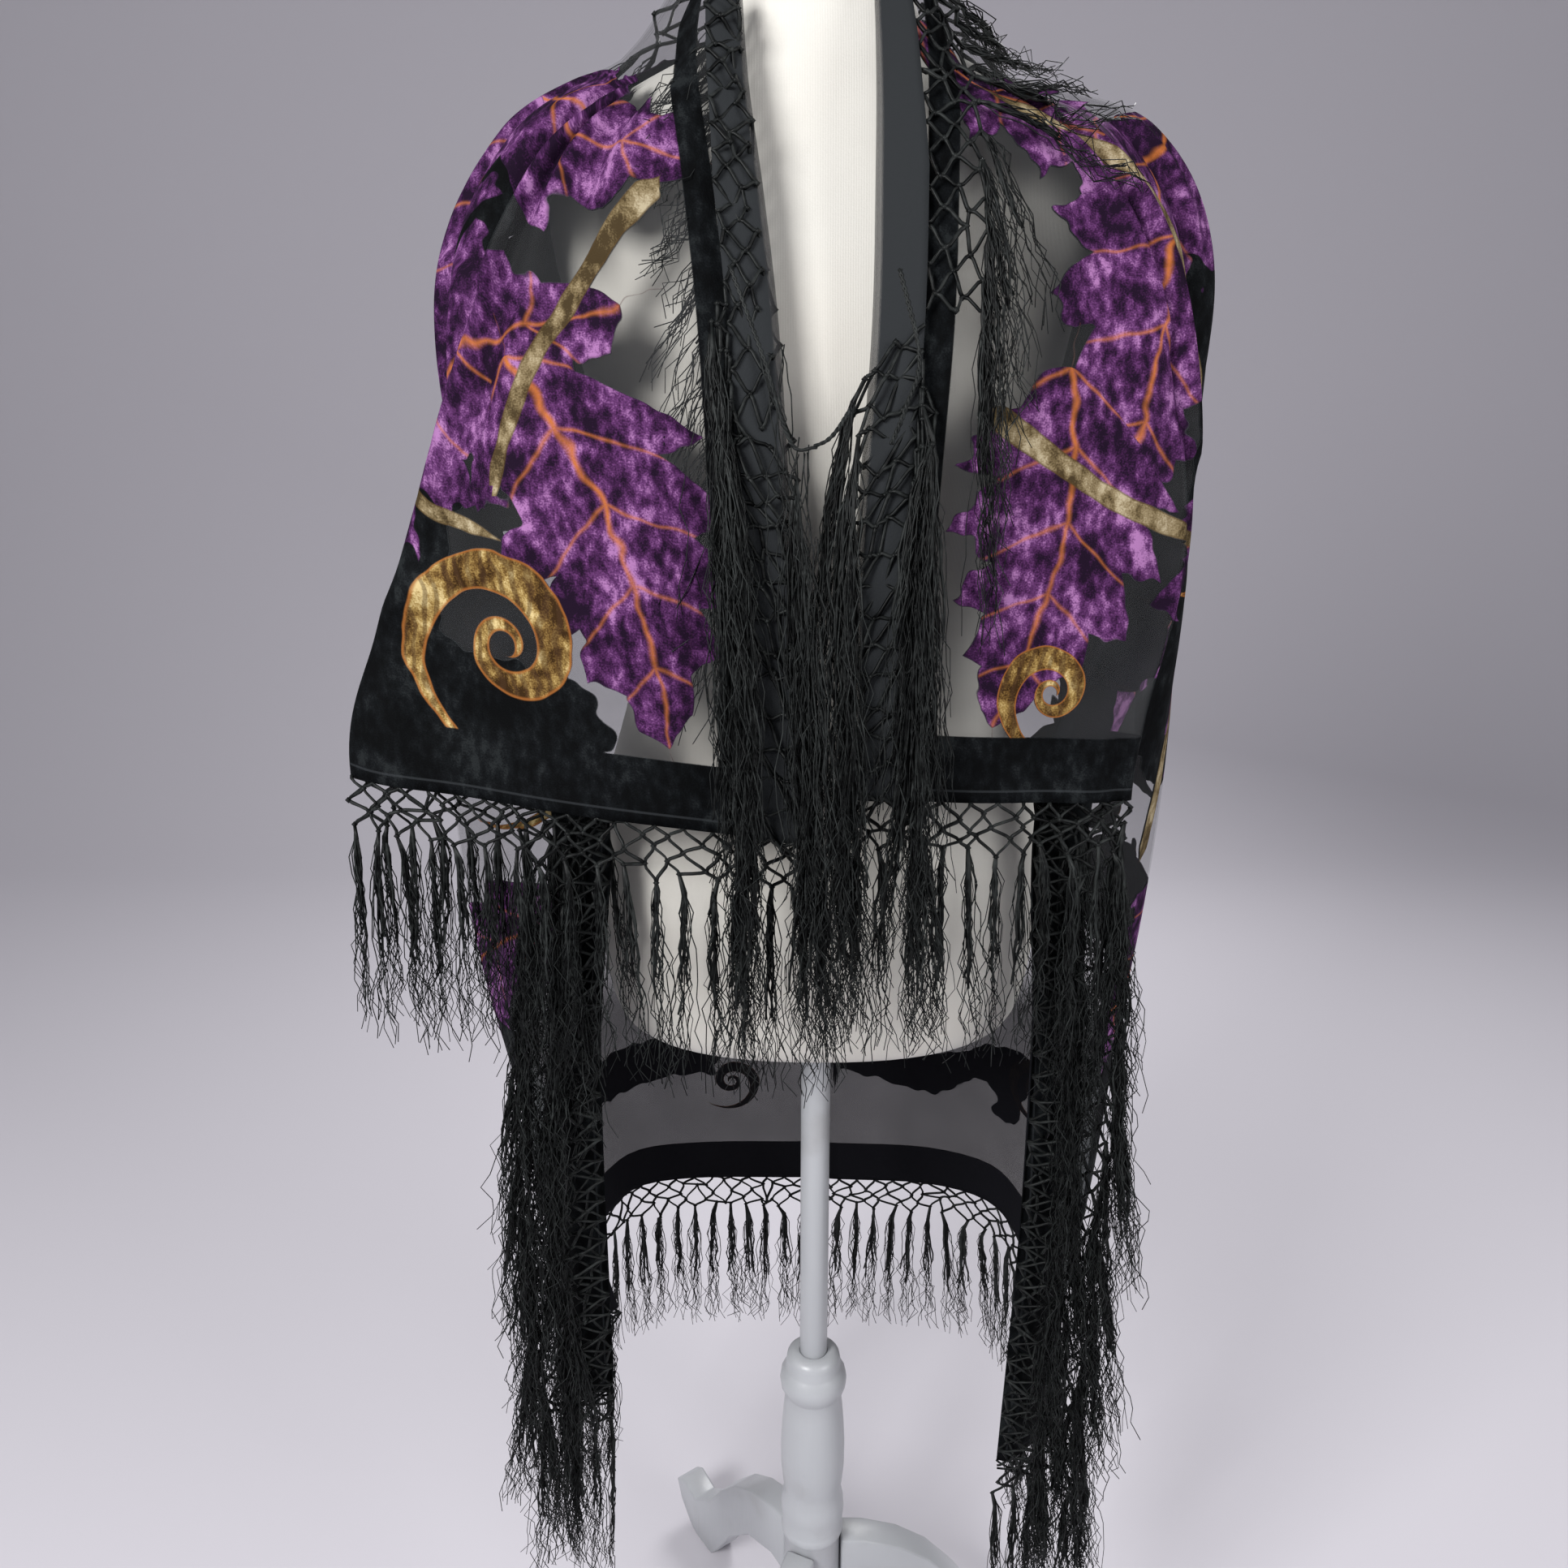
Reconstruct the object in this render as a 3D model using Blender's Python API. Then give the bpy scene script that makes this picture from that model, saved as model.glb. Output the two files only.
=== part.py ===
"""A fringed burnout velvet shawl worn open on a limbless dress form with a turned tripod stand.

Metres, +Z up. The wearer's front faces -Y and the stand's feet are on Z = 0. The shawl is one
rectangle of cloth: its long top edge runs round the nape and down both fronts, its short side
edges make the front hems and the inner edges of the wings, and its long lower edge is the back hem.
Every ring of the cloth is worked out from one row of a table of sections, and every strand of the
fringe follows from the ring that it hangs on.
"""

import math
from collections import namedtuple

import bmesh
import bpy
from mathutils import Vector

# Whole object
SEAM_GAP = 0.0003
CLOTH = 0.0016
COLOURS = {
    "velvet": ((0.16, 0.03, 0.20), 0.75, 0.0),
    "fringe_yarn": ((0.012, 0.013, 0.013), 0.6, 0.0),
    "form_jersey": ((0.80, 0.77, 0.70), 0.85, 0.0),
    "white_paint": ((0.78, 0.79, 0.80), 0.35, 0.0),
}

# Dress form
FORM_POWER = 2.3
FORM_SIDES = 30
FormRow = namedtuple("FormRow", "z half_width front back")
FORM_ROWS = (
    FormRow(0.7240, 0.135, 0.082, 0.090),
    FormRow(0.7270, 0.152, 0.095, 0.102),
    FormRow(0.7400, 0.164, 0.104, 0.112),
    FormRow(0.7700, 0.172, 0.110, 0.119),
    FormRow(0.8200, 0.177, 0.114, 0.124),
    FormRow(0.8800, 0.177, 0.113, 0.122),
    FormRow(0.9500, 0.162, 0.104, 0.108),
    FormRow(1.0200, 0.136, 0.092, 0.086),
    FormRow(1.0900, 0.138, 0.098, 0.086),
    FormRow(1.1600, 0.156, 0.114, 0.095),
    FormRow(1.2200, 0.168, 0.113, 0.101),
    FormRow(1.2800, 0.182, 0.098, 0.102),
    FormRow(1.3200, 0.192, 0.082, 0.098),
    FormRow(1.3545, 0.190, 0.072, 0.090),
    FormRow(1.3765, 0.178, 0.064, 0.082),
    FormRow(1.3975, 0.152, 0.058, 0.074),
    FormRow(1.4130, 0.122, 0.054, 0.068),
    FormRow(1.4260, 0.092, 0.051, 0.062),
    FormRow(1.4395, 0.068, 0.050, 0.056),
    FormRow(1.4600, 0.058, 0.050, 0.052),
    FormRow(1.5000, 0.055, 0.050, 0.050),
    FormRow(1.5200, 0.054, 0.049, 0.049),
    FormRow(1.5250, 0.050, 0.045, 0.045),
)

# Stand
POLE_RADIUS = 0.0125
POLE_FOOT_Z = 0.372
POLE_SIDES = 24
COLUMN_SIDES = 24
HUB_RADIUS = 0.0265
HUB_FOOT_Z = 0.095
LEG_THICKNESS = 0.028
LEG_AZIMUTHS = {"leg_back_left": 126.0, "leg_right": 6.0, "leg_front": 246.0}
ColumnRow = namedtuple("ColumnRow", "z radius")
COLUMN_ROWS = (
    ColumnRow(0.1790, 0.0265),
    ColumnRow(0.1800, 0.0288),
    ColumnRow(0.1840, 0.0296),
    ColumnRow(0.1880, 0.0288),
    ColumnRow(0.1900, 0.0280),
    ColumnRow(0.2050, 0.0300),
    ColumnRow(0.2180, 0.0292),
    ColumnRow(0.2300, 0.0262),
    ColumnRow(0.2380, 0.0278),
    ColumnRow(0.2560, 0.0296),
    ColumnRow(0.2800, 0.0298),
    ColumnRow(0.3050, 0.0286),
    ColumnRow(0.3250, 0.0270),
    ColumnRow(0.3390, 0.0255),
    ColumnRow(0.3410, 0.0262),
    ColumnRow(0.3470, 0.0296),
    ColumnRow(0.3540, 0.0306),
    ColumnRow(0.3610, 0.0296),
    ColumnRow(0.3660, 0.0262),
    ColumnRow(0.3680, 0.0250),
    ColumnRow(0.3760, 0.0246),
    ColumnRow(0.3800, 0.0236),
    ColumnRow(0.3840, 0.0190),
)
# The leg's outline in its own plane: distance from the stand's axis, and height
LegPoint = namedtuple("LegPoint", "reach z")
LEG_OUTLINE = (
    LegPoint(0.0500, 0.169),
    LegPoint(0.0850, 0.157),
    LegPoint(0.1140, 0.138),
    LegPoint(0.1440, 0.105),
    LegPoint(0.1680, 0.071),
    LegPoint(0.1960, 0.048),
    LegPoint(0.2220, 0.055),
    LegPoint(0.2350, 0.046),
    LegPoint(0.2270, 0.026),
    LegPoint(0.2080, 0.006),
    LegPoint(0.1960, 0.000),
    LegPoint(0.1660, 0.000),
    LegPoint(0.1520, 0.016),
    LegPoint(0.1260, 0.058),
    LegPoint(0.0900, 0.094),
    LegPoint(0.0500, 0.108),
)
LEG_TOP_Z = 0.172
LEG_LOW_Z = 0.104

# Shawl: one row for each level, top to bottom. half_width, front_depth and back_depth are the oval
# of the wing and back; the front panel runs from open to fold, turns back to tuck, and joins it.
Row = namedtuple(
    "Row",
    "name open_z fold_z tuck_z back_z half_width front_depth back_depth "
    "open_x open_y fold_x fold_y tuck_x pleat",
)
LEFT = (
    Row("neckline", 1.452, 1.46, 1.467, 1.48, 0.096, 0.064, 0.078, 0.06, -0.052, 0.084, -0.03, 0.09, 0),
    Row("neck_base", 1.392, 1.404, 1.422, 1.432, 0.134, 0.084, 0.094, 0.054,
        -0.08, 0.112, -0.056, 0.126, 0),
    Row("shoulder", 1.325, 1.35, 1.376, 1.374, 0.214, 0.11, 0.12, 0.044, -0.104, 0.168, -0.084, 0.2, 0),
    Row("upper_arm", 1.24, 1.26, 1.284, 1.285, 0.262, 0.125, 0.138, 0.034, -0.126, 0.215, -0.104, 0.242, 0),
    Row("waist", 1.11, 1.112, 1.116, 1.12, 0.277, 0.126, 0.152, 0.026, -0.142, 0.268, -0.118, 0.214, 0),
    Row("front_hem", 0.927, 0.966, 0.955, 0.95, 0.284, 0.12, 0.168, 0.017, -0.156, 0.318, -0.13, 0.15, 0),
    Row("hip", 0.755, 0.755, 0.755, 0.76, 0.277, 0.128, 0.18, 0.017, -0.156, 0.25, -0.138, 0.16, 0.01),
    Row("knee", 0.58, 0.58, 0.58, 0.59, 0.267, 0.12, 0.19, 0.017, -0.156, 0.25, -0.132, 0.168, 0.045),
    Row("back_hem", 0.415, 0.415, 0.415, 0.443, 0.257, 0.108, 0.199, 0.017,
        -0.156, 0.25, -0.122, 0.175, 0.075),
)
RIGHT = (
    Row("neckline", 1.456, 1.46, 1.463, 1.48, 0.083, 0.066, 0.078, 0.034, -0.062, 0.068, -0.042, 0.077, 0),
    Row("neck_base", 1.4, 1.402, 1.41, 1.432, 0.118, 0.088, 0.094, 0.034, -0.088, 0.092, -0.066, 0.106, 0),
    Row("shoulder", 1.335, 1.35, 1.379, 1.374, 0.216, 0.112, 0.12, 0.033, -0.11, 0.162, -0.09, 0.202, 0),
    Row("upper_arm", 1.245, 1.262, 1.29, 1.285, 0.266, 0.125, 0.138, 0.031,
        -0.128, 0.207, -0.108, 0.246, 0),
    Row("waist", 1.112, 1.112, 1.116, 1.12, 0.273, 0.122, 0.152, 0.022, -0.144, 0.232, -0.114, 0.212, 0),
    Row("front_hem", 0.957, 0.944, 0.95, 0.95, 0.272, 0.11, 0.168, 0.02, -0.154, 0.212, -0.11, 0.156, 0),
    Row("hip", 0.755, 0.755, 0.755, 0.76, 0.264, 0.12, 0.18, 0.02, -0.154, 0.236, -0.128, 0.16, 0.01),
    Row("knee", 0.58, 0.58, 0.575, 0.59, 0.26, 0.114, 0.19, 0.02, -0.154, 0.236, -0.122, 0.16, 0.04),
    Row("back_hem", 0.345, 0.345, 0.345, 0.443, 0.248, 0.102, 0.199, 0.02,
        -0.154, 0.236, -0.114, 0.154, 0.065),
)
TABLES = {-1: LEFT, 1: RIGHT}
HEM_T = 5.0
LOW_T = 8.0
STEPS_BETWEEN_ROWS = (3, 3, 3, 3, 4, 3, 3, 3)
OVAL_POWER = 2.3
FRONT_BULGE = 0.020
MID_SHARE = 0.42
FOLD_RADIUS = 0.006
BACK_CONTROLS = 5
CORNER_EASE = 1.6

# Places along a ring: the front edge, the outer fold, the inner fold or wing edge, and mid back
OPEN_U = 1.0
FOLD_U = 3.0
TUCK_U = 5.0
SIDE_SEAM_U = 8.0
CENTRE_U = 10.0
STEPS_BETWEEN_PLACES = (3, 4, 4, 3, 3, 3, 3, 3, 3)

# Soft waves of the back and wings, deeper towards the hem
FLUTES = 3
FLUTE_TOP = 0.003
FLUTE_HEM = 0.016
PLEAT_PLACE = 0.40
PLEAT_WIDTH = 0.13

# Largest drapery ridges on the shoulders: from and to a place on the cloth, height and half width
Ridge = namedtuple("Ridge", "side u_from t_from u_to t_to height width")
RIDGES = (
    Ridge(-1, 2.5, 1.6, 2.2, 3.6, 0.006, 0.020),
    Ridge(-1, 3.1, 1.4, 2.8, 4.2, 0.008, 0.024),
    Ridge(-1, 4.2, 1.5, 4.6, 3.8, 0.007, 0.024),
    Ridge(1, 2.6, 1.4, 2.4, 3.4, 0.006, 0.022),
    Ridge(1, 3.6, 1.5, 3.4, 4.2, 0.007, 0.024),
)
U_METRES = 0.055
T_METRES = 0.120

# Turned-back edge of the fronts, narrower at the neck
LAPEL_WIDTH = 0.028
LAPEL_TOP_WIDTH = 0.014
LAPEL_FULL_T = 2.0
LAPEL_LIFT = 0.0072
LAPEL_TURN_STEPS = 3
LAPEL_FLAT_STEPS = 2

# Fringe: a knotted net header with tassels
NET_DEPTH = 0.034
NET_THICKNESS = 0.002
TASSEL_LENGTH = 0.158
TASSEL_PITCH = 0.028
TASSEL_WIDTH = 0.0056
TASSEL_TIP_WIDTH = 0.0040
TASSEL_THICKNESS = 0.0034
TASSEL_STEPS = 3
TASSEL_SLANT = 0.27
WING_FRINGE_TURN = math.radians(12)
BEFORE_EDGE = Vector((0.0, -0.0017, 0.0))
HEM_GAP = 0.0007
HEM_TASSEL_STEPS = 1
LAPEL_FRINGE_ROW = 3
NAPE_LIFT = 0.0065
NAPE_TASSEL = 0.098
NAPE_LOWEST = 4.0
NAPE_START_U = 7.0
CORNER_CLEARANCE = 0.002
NORMAL_REACH = 0.004
END_TRIM = 0.0012
HALVINGS = 12
WALK_STEPS = 36
# A point on an edge that a fringe hangs on, with the distance walked to it
LinePoint = namedtuple("LinePoint", "walked place side u")


def blend(a, b, share):
    return a + (b - a) * share


def spline_value(values, place):
    """A smooth curve through values that are one step apart, read at a place."""
    last = len(values) - 1
    place = min(max(place, 0.0), float(last))
    i = min(int(place), last - 1)
    f = place - i
    before = values[max(i - 1, 0)]
    start = values[i]
    end = values[i + 1]
    after = values[min(i + 2, last)]
    out_slope = (end - before) / 2 if i > 0 else end - start
    in_slope = (after - start) / 2 if i + 2 <= last else end - start
    rise = 3 * f * f - 2 * f ** 3
    return start + (end - start) * rise + out_slope * (f - 2 * f * f + f ** 3) + in_slope * (f ** 3 - f * f)


def cloth_row(side, t):
    table = TABLES[side]
    numbers = []
    for column in range(1, len(Row._fields)):
        numbers.append(spline_value([row[column] for row in table], t))
    return Row("", *numbers)


def signed_power(value, power):
    return math.copysign(abs(value) ** power, value)


def oval_plan(row, angle):
    """A plan point of the cloth's oval, from 0 at the front to pi at the back."""
    across = row.half_width * signed_power(math.sin(angle), 2 / OVAL_POWER)
    forward = signed_power(math.cos(angle), 2 / OVAL_POWER)
    depth = row.front_depth if forward > 0 else row.back_depth
    return Vector((across, -forward * depth, 0.0))


def oval_angle_at(row, x):
    """The angle at which the front half of the oval reaches x."""
    return math.asin(min(x / row.half_width, 0.999) ** (OVAL_POWER / 2))


def unit(vector):
    return vector / max(vector.length, 1e-9)


def ring_controls(side, t):
    """The control polygon of one ring, on the right-hand side, from the front edge to mid back."""
    row = cloth_row(side, t)
    opening = Vector((row.open_x, row.open_y, row.open_z))
    fold = Vector((row.fold_x, row.fold_y, row.fold_z))
    middle = opening.lerp(fold, MID_SHARE) + Vector((0, -FRONT_BULGE, 0))
    tuck_angle = oval_angle_at(row, row.tuck_x)
    tuck = oval_plan(row, tuck_angle) + Vector((0, 0, row.tuck_z))
    back = []
    for step in range(1, BACK_CONTROLS + 1):
        share = step / BACK_CONTROLS
        place = oval_plan(row, blend(tuck_angle, math.pi, share))
        place.z = row.back_z + (row.tuck_z - row.back_z) * (1 - share) ** CORNER_EASE
        back.append(place)
    back[-1].x = 0.0
    back[-1].y = back[-2].y
    fold_turn = unit(unit(fold - middle) + unit(tuck - fold)) * FOLD_RADIUS
    tuck_turn = unit(unit(tuck - fold) + unit(back[0] - tuck)) * FOLD_RADIUS
    return [opening, middle, fold - fold_turn, fold + fold_turn, tuck - tuck_turn, tuck + tuck_turn, *back]


def ring_base(controls, u):
    """A quadratic B-spline on the control polygon, whose ends it meets."""
    last = len(controls) - 1
    u = min(max(u, 1.0), float(last))
    k = min(int(u), last - 1)
    s = u - k
    start = controls[0] if k == 1 else controls[k - 1].lerp(controls[k], 0.5)
    end = controls[last] if k == last - 1 else controls[k].lerp(controls[k + 1], 0.5)
    return start * (1 - s) ** 2 + controls[k] * (2 * s * (1 - s)) + end * s ** 2


def smooth_step(value):
    value = min(max(value, 0.0), 1.0)
    return value * value * (3 - 2 * value)


def wave_offset(t, u, pleat):
    """How far the flutes and the pleat move the back and the wing along their plan normal."""
    share = min(max((u - TUCK_U) / (CENTRE_U - TUCK_U), 0.0), 1.0)
    height = blend(FLUTE_TOP, FLUTE_HEM, smooth_step((t - 2.0) / (LOW_T - 2.0)))
    flute = height * (1 - math.cos(2 * math.pi * FLUTES * share)) / 2
    inward = pleat * math.exp(-(((share - PLEAT_PLACE) / PLEAT_WIDTH) ** 2))
    return flute - inward


def ridge_offset(side, t, u):
    """How far the drapery ridges lift the cloth."""
    total = 0.0
    for ridge in RIDGES:
        if ridge.side != side:
            continue
        start = Vector((ridge.u_from * U_METRES, ridge.t_from * T_METRES))
        run = Vector((ridge.u_to * U_METRES, ridge.t_to * T_METRES)) - start
        place = Vector((u * U_METRES, t * T_METRES)) - start
        along = place.dot(run) / run.length_squared
        aside = place - run * min(max(along, 0.0), 1.0)
        total += ridge.height * math.exp(-((aside.length / ridge.width) ** 2))
    return total


def cloth_point(side, t, u):
    """The cloth's middle surface, in the object's frame."""
    controls = ring_controls(side, t)
    place = ring_base(controls, u)
    step = 0.02
    along = ring_base(controls, u + step) - ring_base(controls, u - step)
    outward = unit(Vector((along.y, -along.x, 0.0)))
    place = place + outward * (wave_offset(t, u, cloth_row(side, t).pleat) + ridge_offset(side, t, u))
    if u >= CENTRE_U:
        place.x = 0.0
    return Vector((place.x * side, place.y, place.z))


def cloth_normal(side, t, u):
    """The outward normal of the middle surface."""
    step = 0.03
    along = cloth_point(side, t, min(u + step, CENTRE_U)) - cloth_point(side, t, max(u - step, OPEN_U))
    down = cloth_point(side, min(t + step, LOW_T), u) - cloth_point(side, max(t - step, 0.0), u)
    return unit(down.cross(along)) * side


def place_along(side, t, start_u, end_u, distance):
    """The ring parameter at a walked distance from start_u towards end_u, at level t."""
    steps = WALK_STEPS
    before = cloth_point(side, t, start_u)
    walked = 0.0
    for step in range(1, steps + 1):
        u = blend(start_u, end_u, step / steps)
        here = cloth_point(side, t, u)
        stride = (here - before).length
        if walked + stride >= distance:
            share = (distance - walked) / max(stride, 1e-9)
            return blend(start_u, end_u, (step - 1 + share) / steps)
        walked += stride
        before = here
    return end_u


def steps_of(counts, start):
    """Even places between whole numbers, with counts steps in each interval."""
    places = [start]
    for interval, count in enumerate(counts):
        for step in range(1, count + 1):
            places.append(start + interval + step / count)
    return places


ROW_PLACES = steps_of(STEPS_BETWEEN_ROWS, 0.0)
RING_PLACES = steps_of(STEPS_BETWEEN_PLACES, OPEN_U)


def lapel_width(t):
    return blend(LAPEL_TOP_WIDTH, LAPEL_WIDTH, min(t / LAPEL_FULL_T, 1.0))


def lapel_points(side, t):
    """The turned-back edge at one level, from its free edge to the fold at the opening."""
    points = []
    width = lapel_width(t)
    for step in range(LAPEL_FLAT_STEPS + 1):
        distance = width * (1 - step / LAPEL_FLAT_STEPS)
        u = place_along(side, t, OPEN_U, FOLD_U, distance)
        points.append(cloth_point(side, t, u) + cloth_normal(side, t, u) * LAPEL_LIFT)
    edge = cloth_point(side, t, OPEN_U)
    normal = cloth_normal(side, t, OPEN_U)
    inward = unit(edge - cloth_point(side, t, OPEN_U + 0.1))
    for step in range(1, LAPEL_TURN_STEPS):
        angle = math.pi * (1 - step / LAPEL_TURN_STEPS)
        lift = normal * (LAPEL_LIFT / 2 * (1 - math.cos(angle)))
        points.append(edge + lift + inward * (LAPEL_LIFT / 2 * math.sin(angle)))
    return points


LAPEL_COLUMNS = LAPEL_FLAT_STEPS + LAPEL_TURN_STEPS


def cloth_grid():
    """All rings, each from the left lapel round the back to the right lapel."""
    rows = []
    for t in ROW_PLACES:
        left = lapel_points(-1, t) if t <= HEM_T else [None] * LAPEL_COLUMNS
        right = lapel_points(1, t) if t <= HEM_T else [None] * LAPEL_COLUMNS
        for u in RING_PLACES:
            shown = t <= HEM_T or u >= TUCK_U
            left.append(cloth_point(-1, t, u) if shown else None)
            right.append(cloth_point(1, t, u) if shown else None)
        rows.append(left + list(reversed(right))[1:])
    return rows


def grid_normal(grid, i, j):
    """The normal of a grid point from its neighbours, outward."""

    def neighbour(row, column):
        if 0 <= row < len(grid) and 0 <= column < len(grid[0]) and grid[row][column] is not None:
            return grid[row][column]
        return grid[i][j]

    along = neighbour(i, j + 1) - neighbour(i, j - 1)
    down = neighbour(i + 1, j) - neighbour(i - 1, j)
    return unit(along.cross(down))


def make_material(name):
    colour, roughness, metallic = COLOURS[name]
    material = bpy.data.materials.new(name)
    material.use_nodes = True
    shader = material.node_tree.nodes["Principled BSDF"]
    shader.inputs["Base Color"].default_value = (*colour, 1.0)
    shader.inputs["Roughness"].default_value = roughness
    shader.inputs["Metallic"].default_value = metallic
    return material


def add_object(name, mesh, material):
    mesh.materials.append(material)
    mesh.shade_smooth()
    mesh.set_sharp_from_angle(angle=math.radians(50))
    obj = bpy.data.objects.new(name, mesh)
    bpy.context.scene.collection.objects.link(obj)
    return obj


def mesh_from(name, vertices, faces):
    mesh = bpy.data.meshes.new(name)
    mesh.from_pydata([tuple(v) for v in vertices], [], faces)
    mesh.validate()
    return mesh


def seam_shift(grid, i, j, toward):
    """Half a seam's gap, from a seam point towards the next point of its own piece."""
    return unit(grid[i][toward] - grid[i][j]) * (SEAM_GAP / 2)


def cloth_piece(name, grid, first, last, material):
    """A wall of the cloth's thickness from the grid's columns first to last."""
    points = {}
    for i in range(len(grid)):
        for j in range(first, last + 1):
            if grid[i][j] is None:
                continue
            place = grid[i][j]
            if j == first and j > 0 and grid[i][j + 1] is not None:
                place = place + seam_shift(grid, i, j, j + 1)
            if j == last and j < len(grid[0]) - 1 and grid[i][j - 1] is not None:
                place = place + seam_shift(grid, i, j, j - 1)
            points[i, j] = (place, grid_normal(grid, i, j))
    cells = []
    for i in range(len(grid) - 1):
        for j in range(first, last):
            if all(key in points for key in ((i, j), (i + 1, j), (i + 1, j + 1), (i, j + 1))):
                cells.append(((i, j), (i + 1, j), (i + 1, j + 1), (i, j + 1)))
    return wall(name, points, cells, CLOTH, material)


def triangles_of(corners, places):
    """A four-sided cell as two triangles, cut along its shorter diagonal."""
    a, b, c, d = corners
    if (places[0] - places[2]).length <= (places[1] - places[3]).length:
        return [(a, b, c), (a, c, d)]
    return [(a, b, d), (b, c, d)]


def wall(name, points, cells, thickness, material):
    """A closed wall round quads of keyed middle points, each point with its outward normal. Both
    faces of the wall are cut along the same diagonals, so that they never meet."""
    used = sorted({key for cell in cells for key in cell})
    vertices = []
    outer = {}
    inner = {}
    for key in used:
        place, normal = points[key]
        outer[key] = len(vertices)
        vertices.append(place + normal * thickness / 2)
        inner[key] = len(vertices)
        vertices.append(place - normal * thickness / 2)
    faces = []
    edges = {}
    for cell in cells:
        for triangle in triangles_of(cell, [points[key][0] for key in cell]):
            faces.append([outer[key] for key in triangle])
            faces.append([inner[key] for key in reversed(triangle)])
        for start, end in zip(cell, cell[1:] + cell[:1]):
            edges[start, end] = True
    for start, end in edges:
        if (end, start) not in edges:
            faces.append([outer[end], outer[start], inner[start], inner[end]])
    mesh = mesh_from(name, vertices, outward_faces(vertices, faces))
    return add_object(name, mesh, material)


def outward_faces(vertices, faces):
    """The faces turned so that the solid's volume is positive."""
    volume = 0.0
    for face in faces:
        for k in range(1, len(face) - 1):
            a, b, c = vertices[face[0]], vertices[face[k]], vertices[face[k + 1]]
            volume += a.dot(b.cross(c))
    if volume > 0:
        return faces
    return [list(reversed(face)) for face in faces]


def fringe_piece(name, sections, tassels, material):
    """A net strip with tassels: sections are lists of (point, normal) across the strip, and
    tassels maps a section's number to the rings that the tassel between it and the next runs through."""
    vertices = []
    index = []
    for section in sections:
        line = []
        for place, normal in section:
            line.append((len(vertices), len(vertices) + 1))
            vertices.append(place + normal * NET_THICKNESS / 2)
            vertices.append(place - normal * NET_THICKNESS / 2)
        index.append(line)
    faces = []
    width = len(sections[0])
    for k in range(len(sections) - 1):
        for j in range(width - 1):
            cell = (index[k][j], index[k][j + 1], index[k + 1][j + 1], index[k + 1][j])
            for triangle in triangles_of(cell, [vertices[corner[0]] for corner in cell]):
                faces.append([corner[0] for corner in triangle])
                faces.append([corner[1] for corner in reversed(triangle)])
        first_a, first_b = index[k][0], index[k + 1][0]
        faces.append([first_b[1], first_a[1], first_a[0], first_b[0]])
        last_a, last_b = index[k][-1], index[k + 1][-1]
        root = [last_a[0], last_a[1], last_b[1], last_b[0]]
        for ring in tassels.get(k, ()):
            base = len(vertices)
            vertices.extend(ring)
            tip = [base, base + 1, base + 2, base + 3]
            for corner in range(4):
                following = (corner + 1) % 4
                faces.append([root[corner], root[following], tip[following], tip[corner]])
            root = tip
        faces.append(root)
    for line, turned in ((index[0], False), (index[-1], True)):
        for j in range(width - 1):
            cap = [line[j][0], line[j][1], line[j + 1][1], line[j + 1][0]]
            faces.append(list(reversed(cap)) if turned else cap)
    mesh = mesh_from(name, vertices, outward_faces(vertices, faces))
    return add_object(name, mesh, material)


def tassel_breaks(length, corners):
    """Distances along an edge: its ends, its corners, and both sides of each tassel's root. Also
    the numbers of the breaks at which a root starts."""
    count = max(1, int(length / TASSEL_PITCH))
    margin = (length - (count - 1) * TASSEL_PITCH) / 2
    starts = [margin + number * TASSEL_PITCH - TASSEL_WIDTH / 2 for number in range(count)]
    breaks = [END_TRIM, length - END_TRIM]
    for start in starts:
        breaks += [start, start + TASSEL_WIDTH]
    for corner in corners:
        clear = all(abs(corner - known) > CORNER_CLEARANCE for known in breaks)
        inside = any(start < corner < start + TASSEL_WIDTH for start in starts)
        if clear and not inside and END_TRIM < corner < length - END_TRIM:
            breaks.append(corner)
    breaks.sort()
    return breaks, [breaks.index(start) for start in starts]


def measured_line(entries):
    """Line points from (place, side, u) entries, with the distance walked to each."""
    line = []
    walked = 0.0
    for place, side, u in entries:
        if line:
            walked += (place - line[-1].place).length
        line.append(LinePoint(walked, place, side, u))
    return line


def read_line(line, distance):
    """The place at a walked distance along a line, with its side and ring parameter."""
    for before, after in zip(line, line[1:]):
        if after.walked >= distance:
            share = (distance - before.walked) / max(after.walked - before.walked, 1e-9)
            return before.place.lerp(after.place, share), after.side, blend(before.u, after.u, share)
    return line[-1].place, line[-1].side, line[-1].u


def plan_normal(line, distance):
    """The level normal of a hem line, to the same side all along it."""
    ahead = read_line(line, distance + NORMAL_REACH)[0]
    behind = read_line(line, distance - NORMAL_REACH)[0]
    along = ahead - behind
    return unit(Vector((along.y, -along.x, 0.0)))


def strand_ring(centre, across, outward, share):
    """A tassel's four corners at a share of its length."""
    half = across * blend(TASSEL_WIDTH, TASSEL_TIP_WIDTH, share) / 2
    thick = outward * TASSEL_THICKNESS / 2
    return [centre - half + thick, centre - half - thick, centre + half - thick, centre + half + thick]


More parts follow.
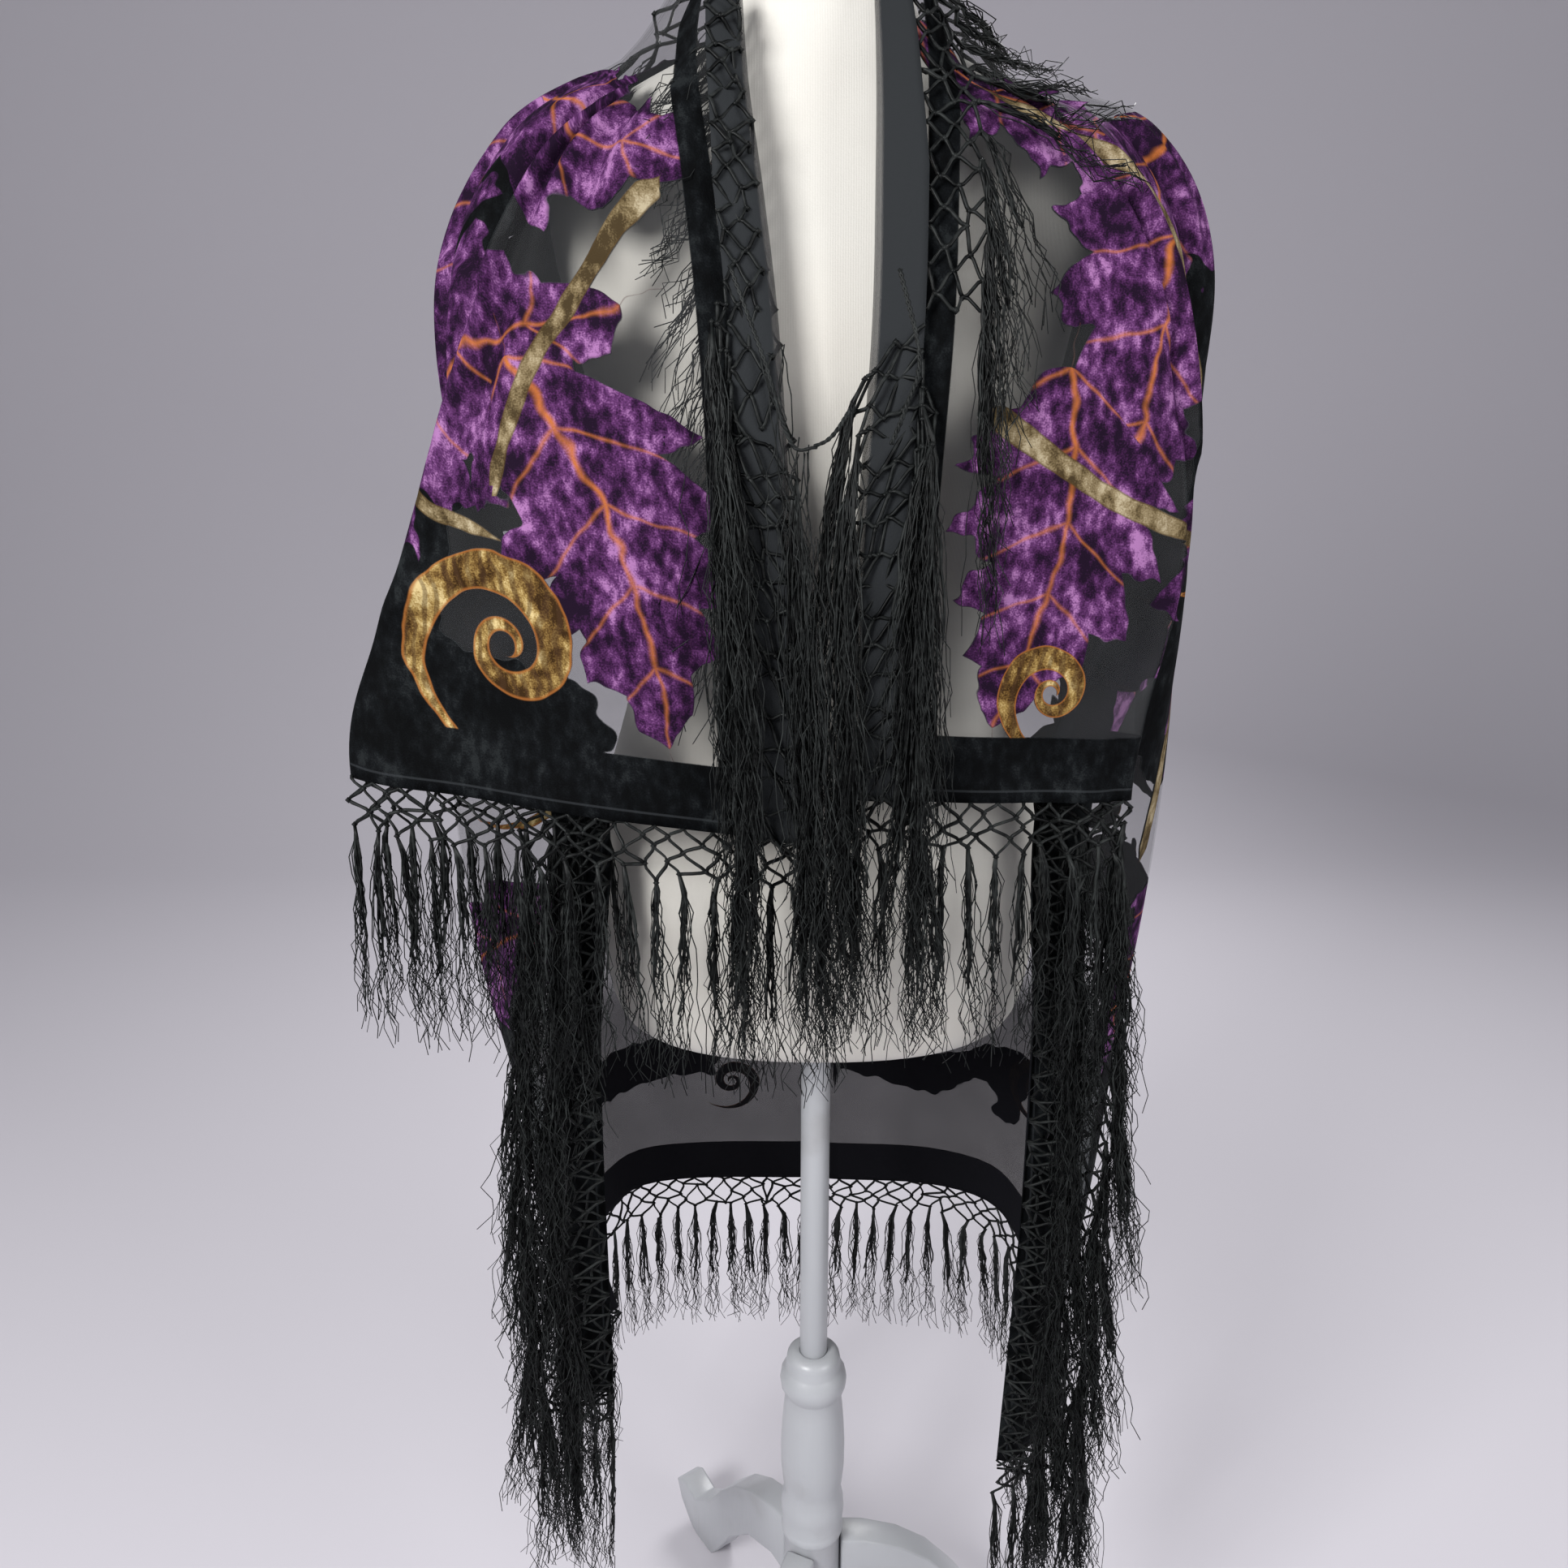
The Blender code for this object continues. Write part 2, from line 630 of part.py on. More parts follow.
def hem_fringe(name, line, material):
    """Net and tassels below a hem."""
    breaks, roots = tassel_breaks(line[-1].walked, [point.walked for point in line])
    sections = []
    for distance in breaks:
        place = read_line(line, distance)[0]
        normal = plan_normal(line, distance)
        top = place - Vector((0, 0, HEM_GAP))
        foot = place - Vector((0, 0, NET_DEPTH))
        sections.append([(top, normal), (foot, normal)])
    tassels = {}
    for root in roots:
        start, normal = sections[root][-1]
        end = sections[root + 1][-1][0]
        across = unit(Vector((end.x - start.x, end.y - start.y, 0.0)))
        rings = []
        for step in range(1, HEM_TASSEL_STEPS + 1):
            share = step / HEM_TASSEL_STEPS
            centre = (start + end) / 2 + Vector((0, 0, -TASSEL_LENGTH * share))
            rings.append(strand_ring(centre, across, normal, share))
        tassels[root] = rings
    return fringe_piece(name, sections, tassels, material)


def level_of_height(side, u, height, lowest):
    """The level t at which the ring place u comes down to a height."""
    high, low = 0.0, lowest
    for _ in range(HALVINGS):
        t = (high + low) / 2
        if cloth_point(side, t, u).z > height:
            high = t
        else:
            low = t
    return (high + low) / 2


def over_front(side, height, distance):
    """A point over the front panel, a distance round it from the lapel's edge, on the level whose
    opening is at a height, or straight below the hem."""
    t = level_of_height(side, OPEN_U, height, HEM_T)
    u = place_along(side, t, OPEN_U, SIDE_SEAM_U, distance + lapel_width(t))
    normal = cloth_normal(side, t, u)
    below_hem = max(cloth_point(side, HEM_T, OPEN_U).z - height, 0.0)
    return cloth_point(side, t, u) + normal * LAPEL_LIFT - Vector((0, 0, below_hem)), normal


def before_wing(side, height, distance):
    """A point in front of the wing at a height, a distance out from its inner edge, or straight
    below its corner."""
    t = level_of_height(side, TUCK_U, height, LOW_T)
    edge = cloth_point(side, t, TUCK_U) + BEFORE_EDGE
    away = Vector((side * math.cos(WING_FRINGE_TURN), -math.sin(WING_FRINGE_TURN), 0.0))
    place = edge + away * distance
    return Vector((place.x, place.y, height)), Vector((away.y * side, -away.x * side, 0.0))


def upright_fringe(name, side, edge, over, material):
    """Net and tassels beside an upright edge, lying over the cloth. The strip starts on the edge's
    own line, over gives the places beyond it, and the tassels hang down and slant away."""
    top = edge[0].z
    corners = [top - point.z for point in edge]
    breaks, roots = tassel_breaks(corners[-1], corners)
    line = [LinePoint(top - point.z, point, side, 0.0) for point in edge]
    sections = []
    for distance in breaks:
        start = read_line(line, distance)[0]
        end, normal = over(side, top - distance, NET_DEPTH)
        first_normal = over(side, top - distance, 0.0)[1]
        middle = over(side, top - distance, NET_DEPTH / 2)
        sections.append([(start + unit(end - start) * SEAM_GAP * 2, first_normal), middle, (end, normal)])
    tassels = {}
    for root in roots:
        height = (sections[root][-1][0].z + sections[root + 1][-1][0].z) / 2
        rings = []
        for step in range(1, TASSEL_STEPS + 1):
            share = step / TASSEL_STEPS
            drop = TASSEL_LENGTH * share
            width = blend(TASSEL_WIDTH, TASSEL_TIP_WIDTH, share)
            reach = NET_DEPTH + drop * TASSEL_SLANT
            near, normal = over(side, height - drop, reach)
            far = over(side, height - drop, reach + width)[0]
            thick = normal * TASSEL_THICKNESS / 2
            rings.append([far + thick, far - thick, near - thick, near + thick])
        tassels[root] = rings
    return fringe_piece(name, sections, tassels, material)


def nape_point(side, u, drop):
    """A point over the upper back, a drop below the neckline."""
    height = cloth_point(side, 0.0, u).z - drop
    t = level_of_height(side, u, height, NAPE_LOWEST)
    return cloth_point(side, t, u) + cloth_normal(side, t, u) * NAPE_LIFT


def nape_fringe(name, line, material):
    """Net and tassels of the neckline, turned outward over the back."""
    breaks, roots = tassel_breaks(line[-1].walked, [point.walked for point in line])
    above = Vector((0, 0, NET_THICKNESS / 2 + CLOTH / 2 + SEAM_GAP))
    sections = []
    for distance in breaks:
        place, side, u = read_line(line, distance)
        normal = cloth_normal(side, 0.0, u)
        level = unit(Vector((normal.x, normal.y, 0.0)))
        low = nape_point(side, u, NET_DEPTH)
        top = (place + above, Vector((0, 0, 1)))
        sections.append([top, (place + level * NAPE_LIFT, level), (low, level)])
    tassels = {}
    for root in roots:
        place, side, u = read_line(line, (breaks[root] + breaks[root + 1]) / 2)
        start, level = sections[root][-1]
        end = sections[root + 1][-1][0]
        across = unit(Vector((end.x - start.x, end.y - start.y, 0.0)))
        rings = []
        for step in range(1, TASSEL_STEPS + 1):
            share = step / TASSEL_STEPS
            centre = nape_point(side, u, NET_DEPTH + NAPE_TASSEL * share)
            rings.append(strand_ring(centre, across, level, share))
        tassels[root] = rings
    return fringe_piece(name, sections, tassels, material)


def superellipse_ring(row, sides):
    ring = []
    for step in range(sides):
        angle = 2 * math.pi * step / sides
        across = row.half_width * signed_power(math.cos(angle), 2 / FORM_POWER)
        along = signed_power(math.sin(angle), 2 / FORM_POWER)
        depth = row.back if along > 0 else row.front
        ring.append(Vector((across, along * depth, row.z)))
    return ring


def stacked_rings(name, rings, material):
    """A closed solid through rings of equal count, with flat ends."""
    sides = len(rings[0])
    vertices = [place for ring in rings for place in ring]
    faces = [list(range(sides))]
    for level in range(len(rings) - 1):
        low = level * sides
        high = low + sides
        for step in range(sides):
            following = (step + 1) % sides
            faces.append([low + step, low + following, high + following, high + step])
    faces.append(list(range((len(rings) - 1) * sides, len(rings) * sides)))
    mesh = mesh_from(name, vertices, faces)
    made = bmesh.new()
    made.from_mesh(mesh)
    bmesh.ops.recalc_face_normals(made, faces=made.faces)
    made.to_mesh(mesh)
    made.free()
    return add_object(name, mesh, material)


def round_ring(z, radius, sides):
    ring = []
    for step in range(sides):
        angle = 2 * math.pi * step / sides
        ring.append(Vector((radius * math.cos(angle), radius * math.sin(angle), z)))
    return ring


def build_form(material):
    rings = [superellipse_ring(row, FORM_SIDES) for row in FORM_ROWS]
    stacked_rings("form_torso", rings, material)


def build_pole(material):
    top = FORM_ROWS[0].z - SEAM_GAP
    rings = [round_ring(z, POLE_RADIUS, POLE_SIDES) for z in (POLE_FOOT_Z, top)]
    stacked_rings("stand_pole", rings, material)


def build_column(material):
    """The turned column with its hub below, and the socket that the pole stands in."""
    rings = [round_ring(HUB_FOOT_Z, HUB_RADIUS, COLUMN_SIDES)]
    rings += [round_ring(row.z, row.radius, COLUMN_SIDES) for row in COLUMN_ROWS]
    socket = POLE_RADIUS + SEAM_GAP
    rings.append(round_ring(COLUMN_ROWS[-1].z, socket, COLUMN_SIDES))
    rings.append(round_ring(POLE_FOOT_Z - SEAM_GAP, socket, COLUMN_SIDES))
    stacked_rings("stand_column", rings, material)


def leg_outline():
    """The leg's closed outline, from the hub's top edge out to the foot and back below it."""
    hub = HUB_RADIUS + SEAM_GAP
    return [LegPoint(hub, LEG_TOP_Z), *LEG_OUTLINE, LegPoint(hub, LEG_LOW_Z)]


def build_leg(name, azimuth, material):
    turn = math.radians(azimuth)
    out = Vector((math.cos(turn), math.sin(turn), 0.0))
    side = Vector((-out.y, out.x, 0.0))
    outline = leg_outline()
    vertices = []
    for half in (-LEG_THICKNESS / 2, LEG_THICKNESS / 2):
        for point in outline:
            vertices.append(out * point.reach + side * half + Vector((0, 0, point.z)))
    count = len(outline)
    faces = [list(range(count)), list(range(2 * count - 1, count - 1, -1))]
    for step in range(count):
        following = (step + 1) % count
        faces.append([following, step, count + step, count + following])
    mesh = mesh_from(name, vertices, faces)
    made = bmesh.new()
    made.from_mesh(mesh)
    bmesh.ops.recalc_face_normals(made, faces=made.faces)
    made.to_mesh(mesh)
    made.free()
    add_object(name, mesh, material)


def column_of(side, u, grid):
    """The grid's column of a ring place on one side."""
    column = LAPEL_COLUMNS + RING_PLACES.index(u)
    return column if side < 0 else len(grid[0]) - 1 - column


def build_shawl(grid, material):
    last = len(grid[0]) - 1
    pieces = (
        ("shawl_front_left", 0, column_of(-1, FOLD_U, grid)),
        ("shawl_wing_left", column_of(-1, FOLD_U, grid), column_of(-1, SIDE_SEAM_U, grid)),
        ("shawl_back", column_of(-1, SIDE_SEAM_U, grid), column_of(1, SIDE_SEAM_U, grid)),
        ("shawl_wing_right", column_of(1, SIDE_SEAM_U, grid), column_of(1, FOLD_U, grid)),
        ("shawl_front_right", column_of(1, FOLD_U, grid), last),
    )
    for name, first, end in pieces:
        cloth_piece(name, grid, first, end, material)


def edge_entries(grid, t, side, u_from, u_to):
    """The grid's points along one level between two ring places, front to back."""
    row = grid[ROW_PLACES.index(t)]
    places = [u for u in RING_PLACES if u_from <= u <= u_to]
    return [(row[column_of(side, u, grid)], side, u) for u in places]


def line_over_back(grid, t, u_from):
    """The grid's points along one level from the left side round the back to the right side."""
    left = edge_entries(grid, t, -1, u_from, CENTRE_U)
    right = edge_entries(grid, t, 1, u_from, CENTRE_U)
    return measured_line(left + list(reversed(right))[1:])


def build_fringes(grid, material):
    hem_row = ROW_PLACES.index(HEM_T)
    for side, word in ((-1, "left"), (1, "right")):
        front = measured_line(edge_entries(grid, HEM_T, side, OPEN_U, FOLD_U))
        hem_fringe(f"fringe_front_{word}", front, material)
        wing = measured_line(edge_entries(grid, LOW_T, side, TUCK_U, SIDE_SEAM_U))
        hem_fringe(f"fringe_wing_hem_{word}", wing, material)
        lapel_column = 0 if side < 0 else len(grid[0]) - 1
        lapel = [grid[i][lapel_column] for i in range(LAPEL_FRINGE_ROW, hem_row + 1)]
        upright_fringe(f"fringe_lapel_{word}", side, lapel, over_front, material)
        wing_column = column_of(side, TUCK_U, grid)
        wing_edge = [grid[i][wing_column] + BEFORE_EDGE for i in range(hem_row + 1, len(grid))]
        upright_fringe(f"fringe_wing_edge_{word}", side, wing_edge, before_wing, material)
    hem_fringe("fringe_back_hem", line_over_back(grid, LOW_T, SIDE_SEAM_U), material)
    nape_fringe("fringe_nape", line_over_back(grid, 0.0, NAPE_START_U), material)


def centre_on_origin():
    """Move every piece level, so that the middle of the whole object's box is over the origin."""
    places = [vertex.co for obj in bpy.data.objects for vertex in obj.data.vertices]
    middle_x = (min(place.x for place in places) + max(place.x for place in places)) / 2
    middle_y = (min(place.y for place in places) + max(place.y for place in places)) / 2
    for obj in bpy.data.objects:
        for vertex in obj.data.vertices:
            vertex.co.x -= middle_x
            vertex.co.y -= middle_y


def main():
    for obj in list(bpy.data.objects):
        bpy.data.objects.remove(obj)
    materials = {name: make_material(name) for name in COLOURS}
    build_form(materials["form_jersey"])
    build_pole(materials["white_paint"])
    build_column(materials["white_paint"])
    for name, azimuth in LEG_AZIMUTHS.items():
        build_leg(name, azimuth, materials["white_paint"])
    grid = cloth_grid()
    build_shawl(grid, materials["velvet"])
    build_fringes(grid, materials["fringe_yarn"])
    centre_on_origin()


main()
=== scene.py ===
# %% [markdown]
# # A fringed burnout velvet shawl on a dress form
# The shawl is one rectangle of sheer cloth with velvet pile left standing where the pattern is. A
# knotted net with tassels runs along all its edges. It hangs open over a limbless dress form on a
# white tripod stand. Everything is in metres, in the frame of the solids imported from model.glb:
# +Z is up, the open front faces -Y and +X is the viewer's right.
# %% Frame
import math

import bpy
import numpy as np
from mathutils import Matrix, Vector


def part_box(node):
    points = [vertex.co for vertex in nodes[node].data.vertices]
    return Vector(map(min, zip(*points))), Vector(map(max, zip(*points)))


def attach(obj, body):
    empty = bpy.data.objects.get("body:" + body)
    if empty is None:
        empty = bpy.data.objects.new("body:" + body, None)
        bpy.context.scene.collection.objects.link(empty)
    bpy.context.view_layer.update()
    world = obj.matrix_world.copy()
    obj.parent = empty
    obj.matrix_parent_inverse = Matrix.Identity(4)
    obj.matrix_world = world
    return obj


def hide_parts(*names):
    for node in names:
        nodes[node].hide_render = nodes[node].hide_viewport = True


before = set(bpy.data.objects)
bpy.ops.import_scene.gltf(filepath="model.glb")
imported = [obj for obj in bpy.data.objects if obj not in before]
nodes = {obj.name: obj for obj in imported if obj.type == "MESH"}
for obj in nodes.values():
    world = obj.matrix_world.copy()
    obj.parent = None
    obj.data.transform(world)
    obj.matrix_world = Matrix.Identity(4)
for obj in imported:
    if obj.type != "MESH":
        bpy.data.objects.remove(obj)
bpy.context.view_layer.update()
pole_low, pole_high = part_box("stand_pole")
AXIS = np.array([(pole_low.x + pole_high.x) / 2, (pole_low.y + pole_high.y) / 2, 0.0])
print("solids", len(nodes), "pole axis", AXIS.round(4))

# %% [markdown]
# ## Helpers for modelling by hand
# Operators act on whatever is selected, so each step first deselects everything. A finished piece
# keeps its object at the origin, and its place is in its mesh.
# %% Small modelling helpers


def deselect_all():
    if bpy.context.mode != "OBJECT":
        bpy.ops.object.mode_set(mode="OBJECT")
    for obj in bpy.context.selected_objects:
        obj.select_set(False)


def pick(obj):
    """Makes one object the only selected and active one."""
    deselect_all()
    obj.select_set(True)
    bpy.context.view_layer.objects.active = obj


def settle(obj):
    """Moves an object's place, turn and size into its mesh."""
    pick(obj)
    bpy.ops.object.transform_apply(location=True, rotation=True, scale=True)


def finish_piece(obj, material):
    """Gives a piece its material, and lets it ride on the one body there is."""
    obj.data.materials.clear()
    obj.data.materials.append(material)
    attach(obj, "root")


def copy_of_solid(node, name):
    """A copy of a solid whose loose triangles are joined into one smooth skin."""
    obj = bpy.data.objects.new(name, nodes[node].data.copy())
    bpy.context.scene.collection.objects.link(obj)
    pick(obj)
    bpy.ops.object.mode_set(mode="EDIT")
    bpy.ops.mesh.select_all(action="SELECT")
    bpy.ops.mesh.remove_doubles(threshold=0.00002)
    bpy.ops.mesh.tris_convert_to_quads(face_threshold=0.7, shape_threshold=0.7)
    bpy.ops.object.mode_set(mode="OBJECT")
    return obj


def apply_modifier(obj, kind, **settings):
    pick(obj)
    modifier = obj.modifiers.new(kind.title(), kind)
    for key, value in settings.items():
        setattr(modifier, key, value)
    bpy.ops.object.modifier_apply(modifier=modifier.name)


print("modelling helpers ready")

# %% [markdown]
# ## Camera
# The view is a wide lens close in front of the stand, a little above the shawl's middle and tilted
# down. That is why the feet look small and the shoulders large.
# %% Camera
CAMERA_PLACE = Vector((-0.005, -0.889, 1.18))
CAMERA_DOWN = math.radians(16.0)
CAMERA_LENS = 27.2
camera_data = bpy.data.cameras.new("front_view")
camera_data.lens = CAMERA_LENS
camera_data.sensor_width = 36.0
camera = bpy.data.objects.new("front_view", camera_data)
camera.location = CAMERA_PLACE
camera.rotation_euler = (math.pi / 2 - CAMERA_DOWN, 0.0, 0.0)
bpy.context.scene.collection.objects.link(camera)
bpy.context.scene.camera = camera
print("camera at", tuple(round(value, 3) for value in CAMERA_PLACE))

# %% [markdown]
# ## Shader maths as sums
# A shader is a net of small nodes. Written out one by one they are hard to read, so this class wraps
# a socket and lets Python's own operators add the Math nodes: 1 - mask is one Subtract node.
# %% Shader helper


class Wire:
    """One output of a shader node, which can be used in sums with numbers and other wires."""

    def __init__(self, tree, socket=None):
        self.tree = tree
        self.socket = socket

    def feed(self, target, value):
        if isinstance(value, Wire):
            self.tree.links.new(value.socket, target)
        else:
            target.default_value = value

    def node(self, kind, values=None, output=0, **settings):
        """Any node: its settings are set first, then its sockets, by name or number."""
        made = self.tree.nodes.new(kind)
        for key, value in settings.items():
            if key == "stops":
                self.ramp(made.color_ramp, value)
            else:
                setattr(made, key, value)
        for key, value in (values or {}).items():
            self.feed(made.inputs[key], value)
        return Wire(self.tree, made.outputs[output])

    def ramp(self, ramp, stops):
        """Colour stops from (place, colour) pairs."""
        while len(ramp.elements) < len(stops):
            ramp.elements.new(1.0)
        for element, (place, colour) in zip(ramp.elements, stops):
            element.position = place
            element.color = (*colour, 1.0)

    def maths(self, operation, *others):
        values = {number: value for number, value in enumerate((self, *others))}
        return self.node("ShaderNodeMath", values, operation=operation)

    def __add__(self, other):
        return self.maths("ADD", other)

    __radd__ = __add__

    def __mul__(self, other):
        return self.maths("MULTIPLY", other)

    __rmul__ = __mul__

    def __sub__(self, other):
        return self.maths("SUBTRACT", other)

    def __rsub__(self, other):
        return self.node("ShaderNodeMath", {0: other, 1: self}, operation="SUBTRACT")

    def __truediv__(self, other):
        return self.maths("DIVIDE", other)

    def __rtruediv__(self, other):
        return self.node("ShaderNodeMath", {0: other, 1: self}, operation="DIVIDE")

    def __pow__(self, other):
        return self.maths("POWER", other)

    def __abs__(self):
        return self.maths("ABSOLUTE")

    def step(self, low, high):
        """0 below low, 1 above high and smooth between, or the other way round."""
        values = {"Value": self, "From Min": low, "From Max": high}
        return self.node("ShaderNodeMapRange", values, interpolation_type="SMOOTHSTEP")

    def mixed(self, first, second):
        """A colour between two, with this wire as the share of the second."""
        made = self.tree.nodes.new("ShaderNodeMix")
        made.data_type = "RGBA"
        self.feed(made.inputs["Factor"], self)
        for socket, value in ((made.inputs[6], first), (made.inputs[7], second)):
            self.feed(socket, value if isinstance(value, Wire) else (*value, 1.0))
        return Wire(self.tree, made.outputs[2])


def new_material(name, **constants):
    """A material's tree as a starting wire, with what is the same all over set on the shader."""
    material = bpy.data.materials.new(name)
    material.use_nodes = True
    tree = material.node_tree
    shader = tree.nodes["Principled BSDF"]
    for key, value in constants.items():
        shader.inputs[key.replace("_", " ").title().replace("Ior", "IOR")].default_value = value
    return material, Wire(tree), shader


def noise(wire, place, scale, detail):
    return wire.node("ShaderNodeTexNoise", {"Vector": place, "Scale": scale, "Detail": detail})


def waves(wire, place, scale, distortion):
    values = {"Vector": place, "Scale": scale, "Distortion": distortion, "Detail": 1.0}
    return wire.node("ShaderNodeTexWave", values)


def raise_surface(wire, shader, height, strength, distance):
    """Leads a height to the shader's normal as a bump of some depth in metres."""
    values = {"Height": height, "Strength": strength, "Distance": distance}
    wire.feed(shader.inputs["Normal"], wire.node("ShaderNodeBump", values))


def stored_number(wire, name):
    return wire.node("ShaderNodeAttribute", output=2, attribute_name=name)


def stored_parts(wire, name):
    """The three numbers of a vector that is stored on a mesh's points."""
    vector = wire.node("ShaderNodeAttribute", output=1, attribute_name=name)
    return [wire.node("ShaderNodeSeparateXYZ", {0: vector}, output=part) for part in range(3)]


print("shader helper ready")

# %% [markdown]
# ## Jersey of the form
# The form's cover is a fine cream jersey. Its knit is far finer than a step away shows, so it is a
# faint bump, with a little yellowing in soft patches.
# %% Jersey material
CREAM, YELLOWED, KNIT_SHADE = (0.66, 0.64, 0.59), (0.61, 0.58, 0.525), (0.54, 0.52, 0.47)


def jersey_material():
    material, wire, shader = new_material("form_jersey", sheen_weight=0.25, sheen_roughness=0.6)
    place = wire.node("ShaderNodeTexCoord", output=3)
    patches = noise(wire, place, 5.0, 3.0)
    knit = waves(wire, place, 420.0, 0.6)
    fibres = noise(wire, place, 900.0, 2.0)
    colour = patches.step(0.35, 0.7).mixed(CREAM, YELLOWED)
    colour = (fibres.step(0.3, 0.7) * 0.12).mixed(colour, KNIT_SHADE)
    wire.feed(shader.inputs["Base Color"], colour)
    wire.feed(shader.inputs["Roughness"], fibres * 0.15 + 0.78)
    raise_surface(wire, shader, knit + fibres, 0.25, 0.0004)
    return material


JERSEY = jersey_material()
print(JERSEY.name, len(JERSEY.node_tree.nodes), "nodes")

# %% [markdown]
# ## Dress form
# The form is foam under a stretched jersey cover: smooth, without arms or head. The solid already has
# its shape, so the piece is that skin merged, rounded by one subdivision and shaded smooth.
# %% Form
form = copy_of_solid("form_torso", "form_cover")
apply_modifier(form, "SUBSURF", levels=1, render_levels=1)
form.data.shade_smooth()
finish_piece(form, JERSEY)
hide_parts("form_torso")
print("form", len(form.data.polygons), "faces")

# %% [markdown]
# ## White stand
# The stand is turned and sawn wood under white satin paint. Brush marks are in the roughness and
# the bump, because the colour itself is nearly even.
# %% Paint material
WHITE, GRIMY = (0.41, 0.42, 0.44), (0.34, 0.34, 0.35)


def paint_material():
    material, wire, shader = new_material("white_paint", coat_weight=0.15, coat_roughness=0.2)
    place = wire.node("ShaderNodeTexCoord", output=3)
    stretched = wire.node("ShaderNodeMapping", {"Vector": place, "Scale": (60.0, 60.0, 6.0)})
    brush = noise(wire, stretched, 6.0, 4.0)
    grime = noise(wire, place, 14.0, 5.0)
    colour = grime.step(0.52, 0.80).mixed(WHITE, GRIMY)
    wire.feed(shader.inputs["Base Color"], colour)
    wire.feed(shader.inputs["Roughness"], brush * 0.22 + 0.26)
    raise_surface(wire, shader, brush, 0.12, 0.0008)
    return material


PAINT = paint_material()
print(PAINT.name, len(PAINT.node_tree.nodes), "nodes")

# %% [markdown]
# The pole, the turned column and the three legs have their true shapes as solids. Each is merged
# into one skin, its edges are rounded as sanded wood is, and the curves are smoothed.
# %% Stand pieces
STAND = (
    ("stand_pole", "pole_tube", 0.0006),
    ("stand_column", "column_turned", 0.0008),
    ("leg_back_left", "leg_curved_back_left", 0.003),
    ("leg_right", "leg_curved_right", 0.003),
    ("leg_front", "leg_curved_front", 0.003),
)
for node, name, rounding in STAND:
    piece = copy_of_solid(node, name)
    apply_modifier(piece, "BEVEL", width=rounding, segments=2, limit_method="ANGLE", angle_limit=0.9)
    pick(piece)
    bpy.ops.object.shade_smooth_by_angle(angle=0.75)
    finish_piece(piece, PAINT)
    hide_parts(node)
    print(name, len(piece.data.polygons), "faces")

# %% [markdown]
# ## The drape of the cloth
# The cloth's middle surface comes from short tables, a row for each level from the neckline to the
# lowest hem, for the viewer's left and right. Each level is a smooth ring: from the open front's
# edge over the front to its fold, back behind it to the tuck, and round to mid back.
# %% Tables of the drape
COLUMNS = (
    "open_z fold_z tuck_z back_z half_width front_depth back_depth "
    "open_x open_y fold_x fold_y tuck_x pleat"
).split()
LEFT = (
    (1.452, 1.46, 1.467, 1.48, 0.096, 0.064, 0.078, 0.06, -0.052, 0.084, -0.03, 0.09, 0),
    (1.392, 1.404, 1.422, 1.432, 0.134, 0.084, 0.094, 0.054, -0.08, 0.112, -0.056, 0.126, 0),
    (1.325, 1.35, 1.376, 1.374, 0.214, 0.11, 0.12, 0.044, -0.104, 0.168, -0.084, 0.2, 0),
    (1.24, 1.26, 1.284, 1.285, 0.262, 0.125, 0.138, 0.034, -0.126, 0.215, -0.104, 0.242, 0),
    (1.11, 1.112, 1.116, 1.12, 0.277, 0.126, 0.152, 0.026, -0.142, 0.268, -0.118, 0.214, 0),
    (0.927, 0.966, 0.955, 0.95, 0.284, 0.12, 0.168, 0.017, -0.156, 0.318, -0.13, 0.15, 0),
    (0.755, 0.755, 0.755, 0.76, 0.277, 0.128, 0.18, 0.017, -0.156, 0.25, -0.138, 0.16, 0.01),
    (0.58, 0.58, 0.58, 0.59, 0.267, 0.12, 0.19, 0.017, -0.156, 0.25, -0.132, 0.168, 0.045),
    (0.415, 0.415, 0.415, 0.443, 0.257, 0.108, 0.199, 0.017, -0.156, 0.25, -0.122, 0.175, 0.075),
)
RIGHT = (
    (1.456, 1.46, 1.463, 1.48, 0.083, 0.066, 0.078, 0.034, -0.062, 0.068, -0.042, 0.077, 0),
    (1.4, 1.402, 1.41, 1.432, 0.118, 0.088, 0.094, 0.034, -0.088, 0.092, -0.066, 0.106, 0),
    (1.335, 1.35, 1.379, 1.374, 0.216, 0.112, 0.12, 0.033, -0.11, 0.162, -0.09, 0.202, 0),
    (1.245, 1.262, 1.29, 1.285, 0.266, 0.125, 0.138, 0.031, -0.128, 0.207, -0.108, 0.246, 0),
    (1.112, 1.112, 1.116, 1.12, 0.273, 0.122, 0.152, 0.022, -0.144, 0.232, -0.114, 0.212, 0),
    (0.957, 0.944, 0.95, 0.95, 0.272, 0.11, 0.168, 0.02, -0.154, 0.212, -0.11, 0.156, 0),
    (0.755, 0.755, 0.755, 0.76, 0.264, 0.12, 0.18, 0.02, -0.154, 0.236, -0.128, 0.16, 0.01),
    (0.58, 0.58, 0.575, 0.59, 0.26, 0.114, 0.19, 0.02, -0.154, 0.236, -0.122, 0.16, 0.04),
    (0.345, 0.345, 0.345, 0.443, 0.248, 0.102, 0.199, 0.02, -0.154, 0.236, -0.114, 0.154, 0.065),
)
TABLES = {-1: np.array(LEFT), 1: np.array(RIGHT)}
HEM_T = 5
LOW_T = 8
OPEN_U, FOLD_U, TUCK_U, SIDE_SEAM_U, CENTRE_U = 1, 3, 5, 8, 10
OVAL_POWER = 2.3
FRONT_BULGE = 0.020
MID_SHARE = 0.42
FOLD_RADIUS = 0.006
BACK_CONTROLS = 5
